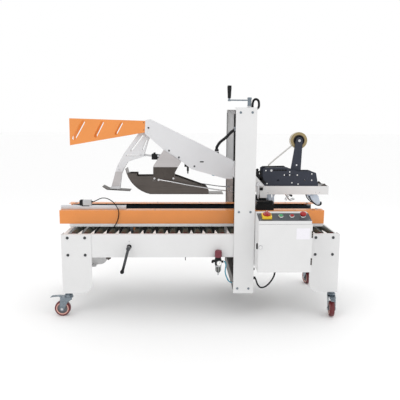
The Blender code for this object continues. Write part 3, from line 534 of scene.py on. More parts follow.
ROLLER_XS = [-805 + index * 78 for index in range(22)]
ROLLER_RADIUS = 24
ROLLER_Z = 521
ROLLER_HALF = 280
NO_ROLLER = 14
SHORT_ROLLERS = (17, 18, 19)
SHORT_FROM = 80
GAPS_WITH_POSTS = (4, 15)
BED_SIDE = 314
LEG_FACE = 318.5
BAR_INNER, BAR_OUTER = 283.5, 288.5
BAR_TOP = 533.5
CASTERS = {"infeed_near": 180, "outfeed_near": -100, "infeed_far": 160, "outfeed_far": 100}
TRAIL = 40
WHEEL_Z = 50


def dress_bed():
    legs = [f"leg_{end}_{side}" for end in ("infeed", "outfeed") for side in ("near", "far")]
    dress("frame_paint", "side_beam_near", "side_beam_far", *legs, edge=1)
    spots = [(x, z) for x in (-836, -728.5, 722, 832.5) for z in (517, 407)]
    bolts("leg_bolts", "frame", "bolt_steel", both(LEG_FACE, spots), 6.6, 9.2, 4.5)
    small = both(BED_SIDE, [(-453, 494)])
    small += [((e * 875.5, s * 275, z), (e, 0, 0)) for s in SIDES for e in SIDES for z in (430, 210)]
    cap_screws("frame_screws", "frame", "steel", small, 4)


def rollers():
    tubes, caps, axles, spacers = Shape(), Shape(), Shape(), Shape()
    r = ROLLER_RADIUS
    cup = [(6, 4.5), (9, 2.5), (16.5, 3.5), (20.5, 0.8), (r - 1.6, 0.8)]
    cup += [(r - 1.6, 14), (6, 14)]
    for index, x in enumerate(ROLLER_XS):
        spans = [(-ROLLER_HALF, ROLLER_HALF)]
        if index in SHORT_ROLLERS:
            spans = [(-ROLLER_HALF, -SHORT_FROM), (SHORT_FROM, ROLLER_HALF)]
        for low, high in spans if index != NO_ROLLER else ():
            long = high - low
            wall = [(r - 1.8, 0), (r - 0.6, 0), (r, 0.8), (r, long - 0.8)]
            tubes.turned(wall + [(r - 0.6, long), (r - 1.8, long)], facing((x, low, ROLLER_Z), FAR))
            for start, way in ((low, FAR), (high, NEAR)):
                caps.turned(cup, facing((x, start, ROLLER_Z), way), 24)
            axles.rod((x, low - 6, ROLLER_Z), (x, high + 6, ROLLER_Z), 5.8, 6)
    for index, (before, after) in enumerate(zip(ROLLER_XS, ROLLER_XS[1:])):
        if index in (NO_ROLLER - 1, NO_ROLLER):
            continue
        x = (before + after) / 2
        tip = 224 if index in GAPS_WITH_POSTS else 192
        for side in SIDES:
            wedge = [(x - 10.5, BAR_INNER), (x + 10.5, BAR_INNER), (x + 1, tip), (x - 1, tip)]
            spacers.slab("XY", [(a, side * b) for a, b in wedge], BAR_TOP, 537.5)
        spacers.blocks((x - 10, x + 10), (279, BAR_INNER), (512, 535))
    piece("roller_tubes", "frame", "roller_sleeve", tubes, ["roller_bank"], edge=0)
    piece("roller_caps", "frame", "roller_cap", caps, edge=0)
    piece("roller_axles", "frame", "steel", axles, edge=0)
    piece("roller_spacers", "frame", "white_plastic", spacers, edge=0.4)


def bed_bars():
    """The two bars that carry the rollers' axles, the bed's end plates, and black sheets under the rollers as
    painted shade seen between them.
    """
    shape, gap_shades = Shape(), Shape()
    slots = [stadium((x, 512), (x, ROLLER_Z), 6.6) for i, x in enumerate(ROLLER_XS) if i != NO_ROLLER]
    shape.slabs(rounded(-862, 503, 862, BAR_TOP, 2), BAR_INNER, BAR_OUTER, slots)
    shape.blocks((-862, 862), (BAR_INNER, BAR_OUTER), (498.5, 503))
    under, bottom = BAR_TOP - 3, BAR_TOP - 140
    profile = [(868, bottom), (868, BAR_TOP), (845, BAR_TOP), (845, under), (865, under), (865, bottom)]
    for way in SIDES:
        shape.slab("XZ", [(way * x, z) for x, z in profile], -288.4, 288.4)
    piece("bed_bars", "frame", "frame_paint", shape)
    # Black sheets inside both bars, under the rollers, are painted shade seen through the gaps between
    # rollers.
    gap_shades.slabs(rounded(-780, 396, 190, 480, 3), 269, 283, [ring(*SPINDLES[0], 12.5)])
    gap_shades.slabs(rounded(-781.5, 472, 191.5, 483.5, 2), 267.5, 269)
    piece("roller_gap_shade", "frame", "black_plastic", gap_shades, edge=0.8)
    nuts = [((e * 868, y, z), (e, 0, 0)) for e in SIDES for y in (-220, 220) for z in (505, 430)]
    bolts("end_plate_bolts", "frame", "zinc", nuts, 4.5, 6.5, 3.5)


def lower_head():
    """The bottom sealing unit: drilled plates, bars, rollers, and its roll of tape on an arm."""
    plates, metal, rubber = Shape(), Shape(), Shape()
    holes = [ring(x, z, 4, 14) for x, z in path("515 420, 560 400, 630 400, 675 420")]
    holes += [stadium((x, 475), (end, 475), 7) for x, end in ((535, 585), (625, 665))]
    plates.slabs(rounded(478, 350, 722, 536, 10), 57, 60, holes)
    plates.slab("XZ", path("585 300, 615 300, 618 380, 582 380"), -34, -30)
    plates.block((582, -58, 374), (618, -30, 380))
    for x, z in path("495 370, 705 370, 500 515, 700 515"):
        metal.bar(x, z, 61, 8)
        metal.rods(x, z, 59.5, 63.5, 5.5, 6)
    metal.rod((600, -38, 290), (600, 30, 290), 7)
    for x, z, radius in path("520 492 14, 680 492 14, 598 440 10"):
        rubber.bar(x, z, 50, radius, 32)
    place = facing((600, -3, 290), FAR)
    tape = Shape().turned(sleeve(38.5, 52, -24, 24), place, 48)
    core = Shape().turned(sleeve(8, 38.5, -25, 25), place, 48)
    piece("lower_head_plates", "frame", "head_paint", plates, ["lower_tape_head"])
    piece("lower_head_bars", "frame", "turned_steel", metal, edge=0.3)
    piece("lower_head_rollers", "frame", "black_rubber", rubber, edge=1.2)
    piece("lower_tape_roll", "frame", "tape", tape, edge=0.5)
    piece("lower_tape_core", "frame", "card", core, edge=0.5)


FORK_RACE = path("0 127.5, 24.5 127.5, 26.5 131, 26.5 138, 22 143, 0 143")
FORK_TOP = path("0 142, 17 142, 17 150, 24 151.5, 24 156.5, 0 156.5")
FORK_CHEEK = path("-24 125.5, -23.5 113, 4 94, 23 56")
FORK_CHEEK += arc(TRAIL, WHEEL_Z, 15, 200, 340, 9) + [(54, 80), (50, 125.5)]
PEDAL = path("36 112, 42 130, 60 133.5, 104 129, 115.5 124, 114.5 121.5, 100 125.5, 62 128.5, 50 122, 46 110")
WHEEL_PARTS = {
    "tread": path("39.5 15, 47 15.8, 49.6 12, 50 0"),
    "tread_ring": path("32.5 14, 34.5 15.8, 39.5 15.8"),
    "wheel_hub": path("4.5 19, 12.5 19, 14 16.5, 15 10.5, 30 9, 32.5 13.5"),
}


def casters():
    for place, heading in CASTERS.items():
        x = 848 * (-1 if "infeed" in place else 1)
        y = 285 * (-1 if "near" in place else 1)
        turn = upright(x, y) @ Matrix.Rotation(math.radians(heading), 4, "Z")
        body, wheel = f"caster_fork_{place}", f"caster_wheel_{place}"
        fork = Shape().turned(FORK_RACE, upright(0, 0)).turned(FORK_TOP, upright(0, 0))
        yoke = arc(0, 0, 26, 80, 280, 12) + path("46 -23.5, 50 0, 46 23.5")
        fork.slab("XY", yoke, 123.5, 127.5)
        fork.slabs(FORK_CHEEK, 20.8, 24, [ring(TRAIL, WHEEL_Z, 4.5, 14)])
        piece(f"{body}_shell", body, "zinc", fork.moved(turn), [body])

        axle = Shape().bar(TRAIL, WHEEL_Z, 25.5, 4.5, 20).rods(TRAIL, WHEEL_Z, 23.8, 28.5, 8.5, 6)
        axle.rod((0, 0, 112), (0, 0, 128), 8.5, 6)
        piece(f"caster_axle_{place}", body, "steel", axle.moved(turn), edge=0.4)

        pedal = Shape().slab("XZ", PEDAL, -13.5, 13.5)
        for ridge in range(4):
            pedal.bar(82 + ridge * 7.5, 131.8 - ridge * 0.9, 11, 1.4, 8)
        piece(f"caster_pedal_{place}", body, "zinc", pedal.moved(turn), edge=0.7)

        for look, profile in WHEEL_PARTS.items():
            shape = Shape().turned(mirrored(profile), facing((TRAIL, 0, WHEEL_Z), FAR), 48)
            for spoke in ring(0, 0, 1, 6) if look == "wheel_hub" else ():
                start, end = [(TRAIL + r * spoke[0], 0, WHEEL_Z + r * spoke[1]) for r in (13, 32)]
                shape.rod(start, end, 11.5, 4)
            stands, slot = ([wheel], "wheel_tread") if look == "tread" else ([], None)
            piece(f"caster_{look}_{place}", wheel, look, shape.moved(turn), stands, edge=0)


# ---- columns and lift -----------------------------------------------------------------------------

LIFT_X, LIFT_Y = 289, 268
COLUMN_LEFT, COLUMN_RIGHT = 202.5, 329.5
COLUMN_FACE = 332
CHAIN_RADIUS, CHAIN_PITCH = 36.5, 12.7
CRANK_REACH = 124


def columns():
    dress("frame_paint", "column_near", "column_far", edge=1)
    # Dark steel on the tie under the bed is painted shade: its darkness is the shadow it stands in.
    dress("dark_steel", "column_tie")
    spots = path("230 1291, 301 1292, 229 683, 301.5 683, 228 189, 299 188")
    bolts("column_bolts", "frame", "zinc", both(COLUMN_FACE, spots), 5, 7.4, 3.5)
    strips, wheels = Shape(), Shape()
    strips.blocks((COLUMN_LEFT - 1.2, COLUMN_LEFT + 2.2), (299, 311.5), (560, 1300))
    strips.blocks((COLUMN_RIGHT - 5.5, COLUMN_RIGHT - 3), (236, 250), (560, 1300))
    strips.blocks((256, 286), (323.5, 328.8), (560, 1291))
    cover = path("0 1321.5, 20.5 1321.5, 20.5 1323.5, 17 1326.5, 12.5 1326.5, 0 1326.5")
    for side in SIDES:
        wheels.turned(cover, upright(LIFT_X, side * LIFT_Y))
    piece("column_strips", "frame", "black_plastic", strips, edge=0.3)
    piece("screw_bearings", "frame", "steel", wheels, edge=0)


def threaded(radius, depth, low, high, place, shape, pitch=10, steps=20):
    """A screw thread as a helical ridge swept round a core."""
    core = radius - depth
    shape.turned(disc(core, low, high), place, steps)
    section = [(-0.34, 0), (-0.16, 1), (0.16, 1), (0.34, 0)]
    rows = []
    for i in range(int((high - low) / pitch * steps) + 1):
        angle = math.tau * i / steps
        height = low + pitch * (0.4 + i / steps * (1 - 0.8 * pitch / (high - low)))
        row = []
        for along, out in section:
            r = core - 0.2 + (depth + 0.2) * out
            point = Vector((r * math.cos(angle), r * math.sin(angle), height + along * pitch))
            row.append(shape.mesh.verts.new(place @ point))
        rows.append(row)
    for first, second in zip(rows, rows[1:]):
        for a in range(len(section) - 1):
            shape.mesh.faces.new((first[a], first[a + 1], second[a + 1], second[a]))


def chain_route():
    """The middle of every link's pin, round both sprockets."""
    straight = 2 * LIFT_Y
    half = straight + math.pi * CHAIN_RADIUS
    links = round(half / CHAIN_PITCH) * 2
    route = []
    for link in range(links):
        s = 2 * half * link / links
        turn = 1 if s < half else -1
        s -= 0 if s < half else half
        a, b = CHAIN_RADIUS, s - LIFT_Y
        if s >= straight:
            t = (s - straight) / CHAIN_RADIUS
            a, b = CHAIN_RADIUS * math.cos(t), LIFT_Y + CHAIN_RADIUS * math.sin(t)
        route.append((LIFT_X + turn * a, turn * b))
    return route


def lift():
    foot = 235.5
    far = "lift_screw_far"
    for side, node, body, top in ((-1, "lift_screw_near", "lift_crank", 1332), (1, far, far, 1328)):
        place = upright(LIFT_X, side * LIFT_Y)
        shape = Shape()
        threaded(11.5, 1.6, 300, 1300, place, shape)
        shape.turned([(0, foot), (9, foot), (9, 262), (11.5, 264), (11.5, 300), (0, 300)], place, 24)
        shape.turned(disc(11.5, 1299, top), place, 24)
        piece(f"{node}_thread", body, "steel", shape, [node], edge=0)
        outline = []
        for tooth in range(16):
            for offset, radius in ((-7, 30), (-3.2, 33.6), (3.2, 33.6), (7, 30)):
                t = math.radians(360 * tooth / 16 + offset)
                outline.append((LIFT_X + radius * math.cos(t), side * LIFT_Y + radius * math.sin(t)))
        sprocket = Shape().slab("XY", outline, 256.5, 259.5).turned(disc(18, 250, 268), place, 28)
        piece(f"{node}_sprocket", body, "dark_steel", sprocket, edge=0.3)

    chain, route = Shape(), chain_route()
    for link, here in enumerate(route):
        there = route[(link + 1) % len(route)]
        chain.rod((*here, 253.5), (*here, 262.5), 2.2, 10)
        chain.rod((*here, 256.2), (*here, 259.8), 4, 12)
        gap = 254.8 if link % 2 else 253.8
        for low in (gap, 515.1 - gap):
            chain.slab("XY", stadium(here, there, 4.3, 5), low, low + 0.9)
    piece("sync_chain_links", "frame", "chain", chain, ["sync_chain"], edge=0)

    x, y = LIFT_X, -LIFT_Y
    tip = x - CRANK_REACH
    hub = path("0 1332.5, 13.5 1332.5, 13.5 1337.5, 11.8 1339, 11.8 1372, 13.5 1374")
    crank = Shape().turned(hub + path("13.5 1381.5, 12 1383.5, 0 1383.5"), upright(x, y))
    crank.slab("XY", stadium((x, y), (tip, y), 9, 9), 1362.5, 1370)
    crank.rod((x, y - 16, 1356), (x, y + 16, 1356), 2.8, 12)
    crank.rod((tip, y, 1360), (tip, y, 1379), 6)
    crank.rod((tip, y, 1360), (tip, y, 1363), 9.5, 6)
    piece("lift_crank_arm", "lift_crank", "zinc", crank, ["lift_crank"])
    grip = path("0 1377.5, 9.2 1377.5, 10 1380, 10.8 1398, 12.6 1430, 13.4 1440")
    grip += path("13.4 1444, 11.8 1445.5, 11.8 1447, 13 1448.5, 12.6 1452, 9 1453.7")
    grip += [(0, 1454)]
    piece("lift_crank_grip", "lift_crank", "black_plastic", Shape().turned(grip, upright(tip, y)), edge=0)


def mast_conduit_loop():
    """The short loop of conduit that stands out of the near column's top."""
    points = path("309.5 -262 1322, 309.5 -262 1342, 314 -265 1364, 327 -273 1373")
    points += path("341 -282 1364, 344.5 -288 1344, 342 -292 1324, 327 -294 1312")
    shape = Shape().tube(points, 7, 16, 12, bulge=(0.17, 0.7))
    piece("mast_conduit", "frame", "black_plastic", shape, edge=0)


# ---- sealing head ---------------------------------------------------------------------------------

ARM_HALF = 60
GUARD_FACE = 56.5
KICKER_PIVOT = (-344, 1193)
KICKER_CROSS = (-545, 915)
ROD_EYE = Vector((-399, 0, 1014))
CYLINDER_PIVOT = Vector((-80, 0, 985))
BRACKET_FACE = 67
TRAY_HALF = 75
HEAD_HALF = 61
ROLL_X, ROLL_Z = 660, 1113.5
CONDUIT_HIGH, CONDUIT_LOW = (212, -227.5, 1193), (112, -30, 1070)


def head_frame():
    dress("arm_paint", "head_carriage", "head_arm", edge=1)
    dress("orange_paint", "guard_near", "guard_far", edge=0.7)
    spots = (KICKER_PIVOT, (-210, 1045), (-145, 1001), (-42, 942))
    bolts("arm_bolts", "head", "bolt_steel", both(ARM_HALF, spots), 4.4, 6.2, 3)
    cap_screws("guard_screws", "head", "bolt_steel", both(GUARD_FACE, ((-375, 1226), (-375, 1179))), 3)
    black = Shape()
    slot = stadium((-2, 972), (16, 972), 4.2)
    black.slab("XZ", slot, -ARM_HALF - 0.6, -ARM_HALF + 1)
    black.slab("XZ", slot, ARM_HALF - 1, ARM_HALF + 0.6)
    black.block((-108, -30, 935), (-66, 30, 950))
    black.block((-92, -6, 905), (-78, 6, 940))
    black.rod((-85, 0, 908), (-85, 0, 890), 4.5, 16)
    piece("arm_fittings", "head", "black_plastic", black, edge=0.5)
    metal = Shape().bar(-85, 945, 12.5, 6, 20).rod((-85, 0, 893), (-85, 0, 884), 3, 16)
    piece("arm_fitting_metal", "head", "steel", metal, edge=0.3)
    loop = path("68 -20 925, 66 -26 905, 74 -32 886, 90 -34 878, 106 -32 886, 113 -26 902, 112 -20 922")
    piece("arm_hose_loop", "head", "hose", Shape().tube(loop, 3.2, 12, 8), edge=0)
    gland = Shape().rod((108, -20, 1020), (108, -20, 1035), 17, 6)
    neck = path("0 1032, 11.8 1032, 11.8 1040, 13.8 1041, 13.8 1050, 10.5 1056, 0 1056")
    piece("arm_gland", "head", "black_plastic", gland.turned(neck, upright(108, -20), 28), edge=0.4)
    rims = Shape()
    rim = path("12.5 950, 21.5 950, 21.5 954, 18.5 957, 12.5 957")
    for side in SIDES:
        rims.turned(rim, upright(LIFT_X, side * LIFT_Y), 28)
        for x, y in ((232, 249), (300, 247)):
            rims.rod((x, side * y, 950), (x, side * y, 955.5), 5, 6)
    piece("lift_nuts", "head", "turned_steel", rims, edge=0.4)


def conduit():
    """The ribbed conduit from the near column to the arm's gland."""
    points = path("108 -20 1053, 108 -20 1060, 109 -22 1068, 126 -56 1100")
    points += [(160, -120, 1135), (190, -180, 1172), CONDUIT_HIGH]
    shape = Shape().tube(points, 9.2, 20, 16, bulge=(0.15, 0.8))
    black = "black_plastic"
    made = piece("head_conduit_ribbed", None, black, shape, ["head_conduit"], edge=0)
    clip = Shape().block((203, -329, 1180), (205.5, -220, 1205))
    clip.block((203, -329, 1180), (211, -326.5, 1205))
    piece("conduit_bracket", "frame", "zinc", clip, edge=0.5)
    saddle = Shape().block((203.5, -234, 1179.5), (211.2, -218, 1205.5))
    piece("conduit_saddle", "frame", "black_plastic", saddle, edge=1)
    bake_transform(made)


def kicker():
    """The rear-flap folder: slotted plates on a pivot, a bent foot, and the cylinder that swings it."""
    outline = path("-374 1212, -424.5 1140.7, -512.7 1021.8, -558.9 938.2, -584.1 853.9")
    outline += path("-603.7 786, -544.1 781.4, -530 884.4, -514.6 920.2, -486.4 965.9")
    outline += path("-438.8 983.4, -385.3 999, -372.9 1028.4, -350.8 1102.8, -322 1164")
    outline += [(-322, 1205)]
    holes = [
        stadium((-462, 1043), (-386, 1141), 4.8),
        stadium((-385, 1050), (-362, 1108), 4.5),
        stadium((-495, 1010), (-412, 1010), 3.8),
        ring(-550, 938, 3.2, 14),
    ]
    plates = Shape().slabs(outline, 17.5, 22.5, holes)
    plates.slab("XZ", path("-610 780, -540 776, -544.5 800, -602 800"), -18, 18)
    piece("kicker_plates", "kicker", "arm_paint", plates, ["kicker_arm"], edge=0.7)
    shin = path("-570.6 902, -524.5 902, -531 884.4, -544.8 802, -599 802")
    covers = Shape().slabs(shin + [(-583.5, 853.9)], 22.4, 23.2)
    piece("kicker_shin", "kicker", "sheet_steel", covers, edge=0.3)
    sole = [(-657, 804.5), (-655.5, 801.5)] + arc(-621.9, 793.3, 12, 235, 268, 4)
    sole += path("-472.3 772.6, -472.3 776, -620.5 785")
    piece("kicker_shoe", "kicker", "dark_steel", Shape().slab("XZ", sole, -50, 50), edge=0.5)
    metal = Shape().bar(*KICKER_PIVOT, 18.5, 12, 28).bar(*KICKER_CROSS, 18.5, 8, 28)
    metal.rods(*KICKER_PIVOT, 22, 30, 12.5, 28).rods(*KICKER_CROSS, 22, 26.2, 5.5, 6)
    metal.rods(ROD_EYE.x, ROD_EYE.z, 22.2, 26.2, 7, 6)
    piece("kicker_metal", "kicker", "turned_steel", metal, edge=0.4)

    way = (ROD_EYE - CYLINDER_PIVOT).normalized()
    place = facing(CYLINDER_PIVOT, way)
    barrel = Shape().turned(sleeve(7.2, 14.8, 12, 236), place)
    body = "kicker_cylinder"
    piece("kicker_barrel", body, "aluminium", barrel, [body], edge=0)
    ends = Shape()
    ends.turned(path("7.2 222, 16 222, 16 244, 13.5 245.5, 7.2 245.5"), place)
    ends.turned(path("0 -12, 11 -12, 16 4, 16 24, 0 24"), place)
    for height in (14, 230):
        for start, end, radius, sides in ((15, 23, 5, 6), (22.8, 29, 4, 16)):
            ends.rod(place @ Vector((-start, 0, height)), place @ Vector((-end, 0, height)), radius, sides)
    ends.block((-328, -19, 982), (-290, 19, 1019))
    ends.rod((-309, 0, 1017), (-309, 0, 1029), 7, 16)
    piece("kicker_cylinder_ends", body, "black_plastic", ends, edge=0.5)

    back = facing(ROD_EYE, -way)
    rod = Shape().turned(disc(6, 20, 285), back, 24)
    rod.turned(sleeve(4.6, 11.8, -7.5, 7.5), facing(ROD_EYE, FAR), 28)
    rod.bar(ROD_EYE.x, ROD_EYE.z, 16.5, 4.5, 20)
    for low, high, radius, sides in ((16, 22, 9.5, 6), (26, 31, 9.5, 6), (8, 18, 7.2, 20)):
        rod.rod(back @ Vector((0, 0, low)), back @ Vector((0, 0, high)), radius, sides)
    piece("kicker_rod_bar", "kicker_rod", "turned_steel", rod, ["kicker_rod"], edge=0.3)


def plough():
    dress("sheet_steel", "plough_bracket", edge=0.6)
    dress("ski_steel", "plough_ski", edge=0.7)
    dress("turned_steel", "flap_rod_near", "flap_rod_far", edge=0)
    spots = ((-307.5, 861), (-181.5, 861))
    bolts("plough_bolts", "head", "steel", both(BRACKET_FACE, spots), 5, 6.8, 3.5)
    skirt = path("-315 845, -172.8 849.2, -172.8 898.5, -151.2 936.5, -315 936.5")
    dark = Shape().slabs(skirt, 67.2, 68.2).slabs(stadium((-303, 930), (-195, 930), 2.2), 68, 69)
    piece("plough_bracket_skirt", "head", "dark_steel", dark, edge=0.4)
    clamps = Shape().rods(-279, 853, 66, 78, 7.5, 20)
    clamps.blocks((196, 213.5), (95, 106), (777, 789))
    piece("flap_rod_clamps", "head", "steel", clamps, edge=0.8)


def tape_tray():
    dress("frame_paint", "tape_tray")
    spots = path("452 770, 774 770, 800 770, 300 870, 300 830")
    cap_screws("tray_screws", "head", "steel", both(TRAY_HALF, spots), 3.5)
    latches = Shape().slabs(path("809 813, 852 813, 832 830"), TRAY_HALF - 10, TRAY_HALF - 4)
    piece("tray_latches", "head", "dark_steel", latches)
    block = Shape().blocks((397, 446), (75.5, 78.8), (732, 784))
    piece("tray_blocks", "head", "frame_paint", block, edge=1.5)
    black = Shape().blocks((396, 416), (75.5, 84), (784.5, 803))
    black.rods(406, 794, 84, 86.5, 5.5, 20)
    piece("tray_switches", "head", "black_plastic", black, edge=0.7)
    bar = Shape().blocks((380.5, 389.5), (75.5, 78.8), (725, 813))
    bar.slabs(path("367 813, 424.5 813, 400 840, 378 840"), 75.5, 84)
    bar.rods(392, 824, 83, 88, 6, 20)
    piece("tray_clamps", "head", "turned_steel", bar, edge=0.7)
    chain = Shape().slabs(stadium((372, 800), (385, 905), 7.5), 55, 60)
    for step in range(9):
        x, z = 392 + 10 * math.sin(step * 1.1), 792 + step * 14.5
        chain.rods(x, z, 60, 70.5, 8.6, 16).rods(x, z, 58, 72.5, 3.2, 10)
    for start, end in (((366, 905), (412, 862)), ((412, 862), (372, 832)), ((380, 880), (428, 836))):
        chain.slabs(stadium(start, end, 8), 62, 65.5, [ring(*end, 3, 12)])
        chain.rods(*end, 60, 68, 5, 6)
    chain.slabs(ring(372, 872, 15, 20), 66, 70)
    piece("flap_chain", "head", "black_plastic", chain, edge=0.5)


HEAD_SCREWS = path("436 915, 597 906, 561 885, 597 885, 649 885, 746.5 893, 747 850, 614 832.5, 656 824")
HEAD_SCREWS += [(446, 827)]
GUIDES = path("505 880 13, 478 900 9, 530 800 12, 720 850 11")


def tape_head():
    """The upper tape head: drilled plates, the roll arm, guide rollers, and the tape strand."""
    outline = path("415 925.2, 430.6 934.6, 578.2 937.6, 597.4 925.7, 659.1 909.1")
    outline += path("749.1 909.4, 775.1 900.1, 792.9 818, 785 760, 430 760, 430 815")
    outline += [(415, 815)]
    slots = [stadium((x, 885), (end, 885), 3, 4) for x, end in ((573, 586), (609, 620))]
    slots += [ring(x, 850, 6, 16) for x in (700, 520)]
    plates = Shape().slabs(outline, HEAD_HALF - 3, HEAD_HALF, slots)
    lip = path("434 934.6, 577 937.6, 577 935, 434 932")
    plates.slabs(lip, HEAD_HALF - 13, HEAD_HALF - 1)
    x, z = ROLL_X, ROLL_Z
    mast = [(602, 880), (676, 880)] + arc(x, z, 23.5, 8, 172, 17)
    plates.slab("XZ", mast, -34, -30, [ring(648, 950, 5, 16)])
    plates.block((606, -59.5, 882), (672, -31, 886))
    # Black stadiums on each plate's face are painted shade, standing for the dark insides of the head's
    # slots.
    slot_shades = Shape()
    for i in range(5):
        start = 491 + i * 18.5
        slot_shade = stadium((start, 917.5), (start + 8, 917.5), 5, 6)
        slot_shades.slabs(slot_shade, HEAD_HALF - 1, HEAD_HALF + 0.4)
    piece("tape_head_slot_shade", "head", "black_rubber", slot_shades, edge=0)
    piece("tape_head_plates", "head", "head_paint", plates, ["tape_head_frame"])
    metal = Shape()
    for spot in path("440 900, 570 905, 760 875, 600 775"):
        metal.bar(*spot, 58.5, 7)
    for start, end, radius, sides in ((-36, 31, 8, 28), (-34, -39.5, 10, 6), (28.5, 32.5, 15, 28)):
        metal.rod((x, start, z), (x, end, z), radius, sides)
    piece("tape_head_bars", "head", "turned_steel", metal, edge=0.4)
    cap_screws("tape_head_screws", "head", "white_plastic", both(HEAD_HALF, HEAD_SCREWS), 4.5)
    bolts("tape_head_bolts", "head", "steel", both(HEAD_HALF, [(473, 915)]), 6.2, 7.8, 3.5)

    guides, spindles = Shape(), Shape()
    for gx, gz, r in GUIDES:
        guides.turned(mirrored([(0, -30), (r * 0.8, -30), (r, -28)]), facing((gx, 0, gz), FAR), 28)
        spindles.bar(gx, gz, 59, 4.2, 16)
    piece("tape_guide_rollers", "head", "white_plastic", guides, edge=0)
    piece("tape_guide_spindles", "head", "steel", spindles, edge=0)

    lean = math.radians(40)
    route = [(x - 54.5 * math.cos(lean), z - 54.5 * math.sin(lean)), (502, 981), (464, 946)]
    route += path("466.5 909.5, 467.8 899, 478 890.5")
    back = [(a - 0.8, b + (1 if i < 3 else 0.2)) for i, (a, b) in enumerate(route)]
    piece("tape_strand", "head", "tape_film", Shape().slab("XZ", route + back[::-1], -23.5, 23.5), edge=0)


def tape_roll():
    place = facing((ROLL_X, 0, ROLL_Z), NEAR)
    wound = [(38.5 + 17 * i / 12, 24.3 if i % 2 else 24) for i in range(13)] + [(56, 23.6)]
    roll = Shape().turned(mirrored(wound), place, 64)
    piece("tape_roll_wound", "tape_roll", "tape", roll, ["tape_roll"], edge=0)
    core = Shape().turned(sleeve(36.5, 38.5, -24.3, 24.3), place, 64)
    piece("tape_roll_core", "tape_roll", "card", core, edge=0)
    rim = path("8.5 27.5, 15 27.5, 16 21.5, 30 21.5, 31 26.2, 36.2 26.2")
    hub = Shape().turned(mirrored(rim), place, 48)
    for c, s in ring(0, 0, 1, 4):
        start, end = [(ROLL_X + r * c, 0, ROLL_Z + r * s) for r in (16, 31)]
        hub.rod(start, end, 24.5, 4)
    piece("tape_roll_hub", "tape_roll", "black_plastic", hub, edge=0)


FRONT_CHEEK = path("438 800, 452 815, 508 782, 510 768, 498 736, 500 706")
FRONT_CHEEK += path("497 688, 485 681, 472 686, 463 706, 446 765")
REAR_CHEEK = path("646 808, 662 819, 778 765, 800 742, 808 716, 815 696, 809 683, 792 682, 765 704")
REAR_CHEEK += [(738, 742), (649, 786)]
WIPE_ARMS = (
    ("front_wipe_arm", (452, 795), (485, 692), FRONT_CHEEK, ((476, 768), (482, 738))),
    ("rear_wipe_arm", (660, 800), (805, 690), REAR_CHEEK, ((700, 778), (758, 750))),
)
HOOK = path("739 742, 748 718, 766 696, 790 680, 810 678, 822 688, 818 704")
KNIFE_LINKS = (((582, 752), (616, 704)), ((614, 752), (588, 708)), ((614, 704), (644, 716)))


def wipe_arms():
    """The front and rear roller arms of the tape head, the rear one's hooks, and the knife's links."""
    for name, pivot, roller, outline, hole in WIPE_ARMS:
        cheeks = Shape().slabs(outline, 51, 54, [stadium(*hole, 5.5)])
        piece(f"{name}_cheeks", name, "pale_blue", cheeks, [name])
        shaft = Shape().bar(*pivot, 53.5, 9, 28).bar(*roller, 55.5, 4.2, 28)
        piece(f"{name}_shaft", name, "steel", shaft, edge=0.4)
        rubber = mirrored(path("4.5 -50, 14 -50, 15.8 -48"))
        drum = Shape().turned(rubber, facing((roller[0], 0, roller[1]), FAR), 40)
        piece(f"{name}_roller", name, "black_rubber", drum, edge=0)
    hooks, links = Shape(), Shape()
    for side in SIDES:
        hooks.tube([(x, side * 54.5, z) for x, z in HOOK], 3.4, 12, 6)
    piece("rear_wipe_hooks", "rear_wipe_arm", "black_rubber", hooks, edge=0)
    for a, b in KNIFE_LINKS:
        for y in (-20, 20):
            links.rod((a[0], y, a[1]), (b[0], y, b[1]), 2.6, 12)
        links.bar(*b, 24, 3.4, 16)
    piece("knife_links", "head", "steel", links, edge=0)
    pin = Shape().bar(621, 740, 28, 7.5, 20).rod((621, 0, 740), (621, 0, 775), 5, 16)
    piece("knife_pin", "head", "black_plastic", pin, edge=0.5)


# ---- side rails -----------------------------------------------------------------------------------

RAIL_TOP = 664
SPINDLES = ((-454, 459), (404, 459))
BELT_ENDS = (-870, 770)
BELT_MIDDLE = 123.5
BELT_RADIUS, BELT_THICK = 27.5, 2.2
TOOTH_PITCH = 10
TOOTH = ((0, 0), (0.5, 0), (0.55, 1.6), (0.95, 1.6))
MOTOR_X = 420
THREADED_SPANS = ((-285, -62.01), (62, 284.99))
SENSOR_Y = -116


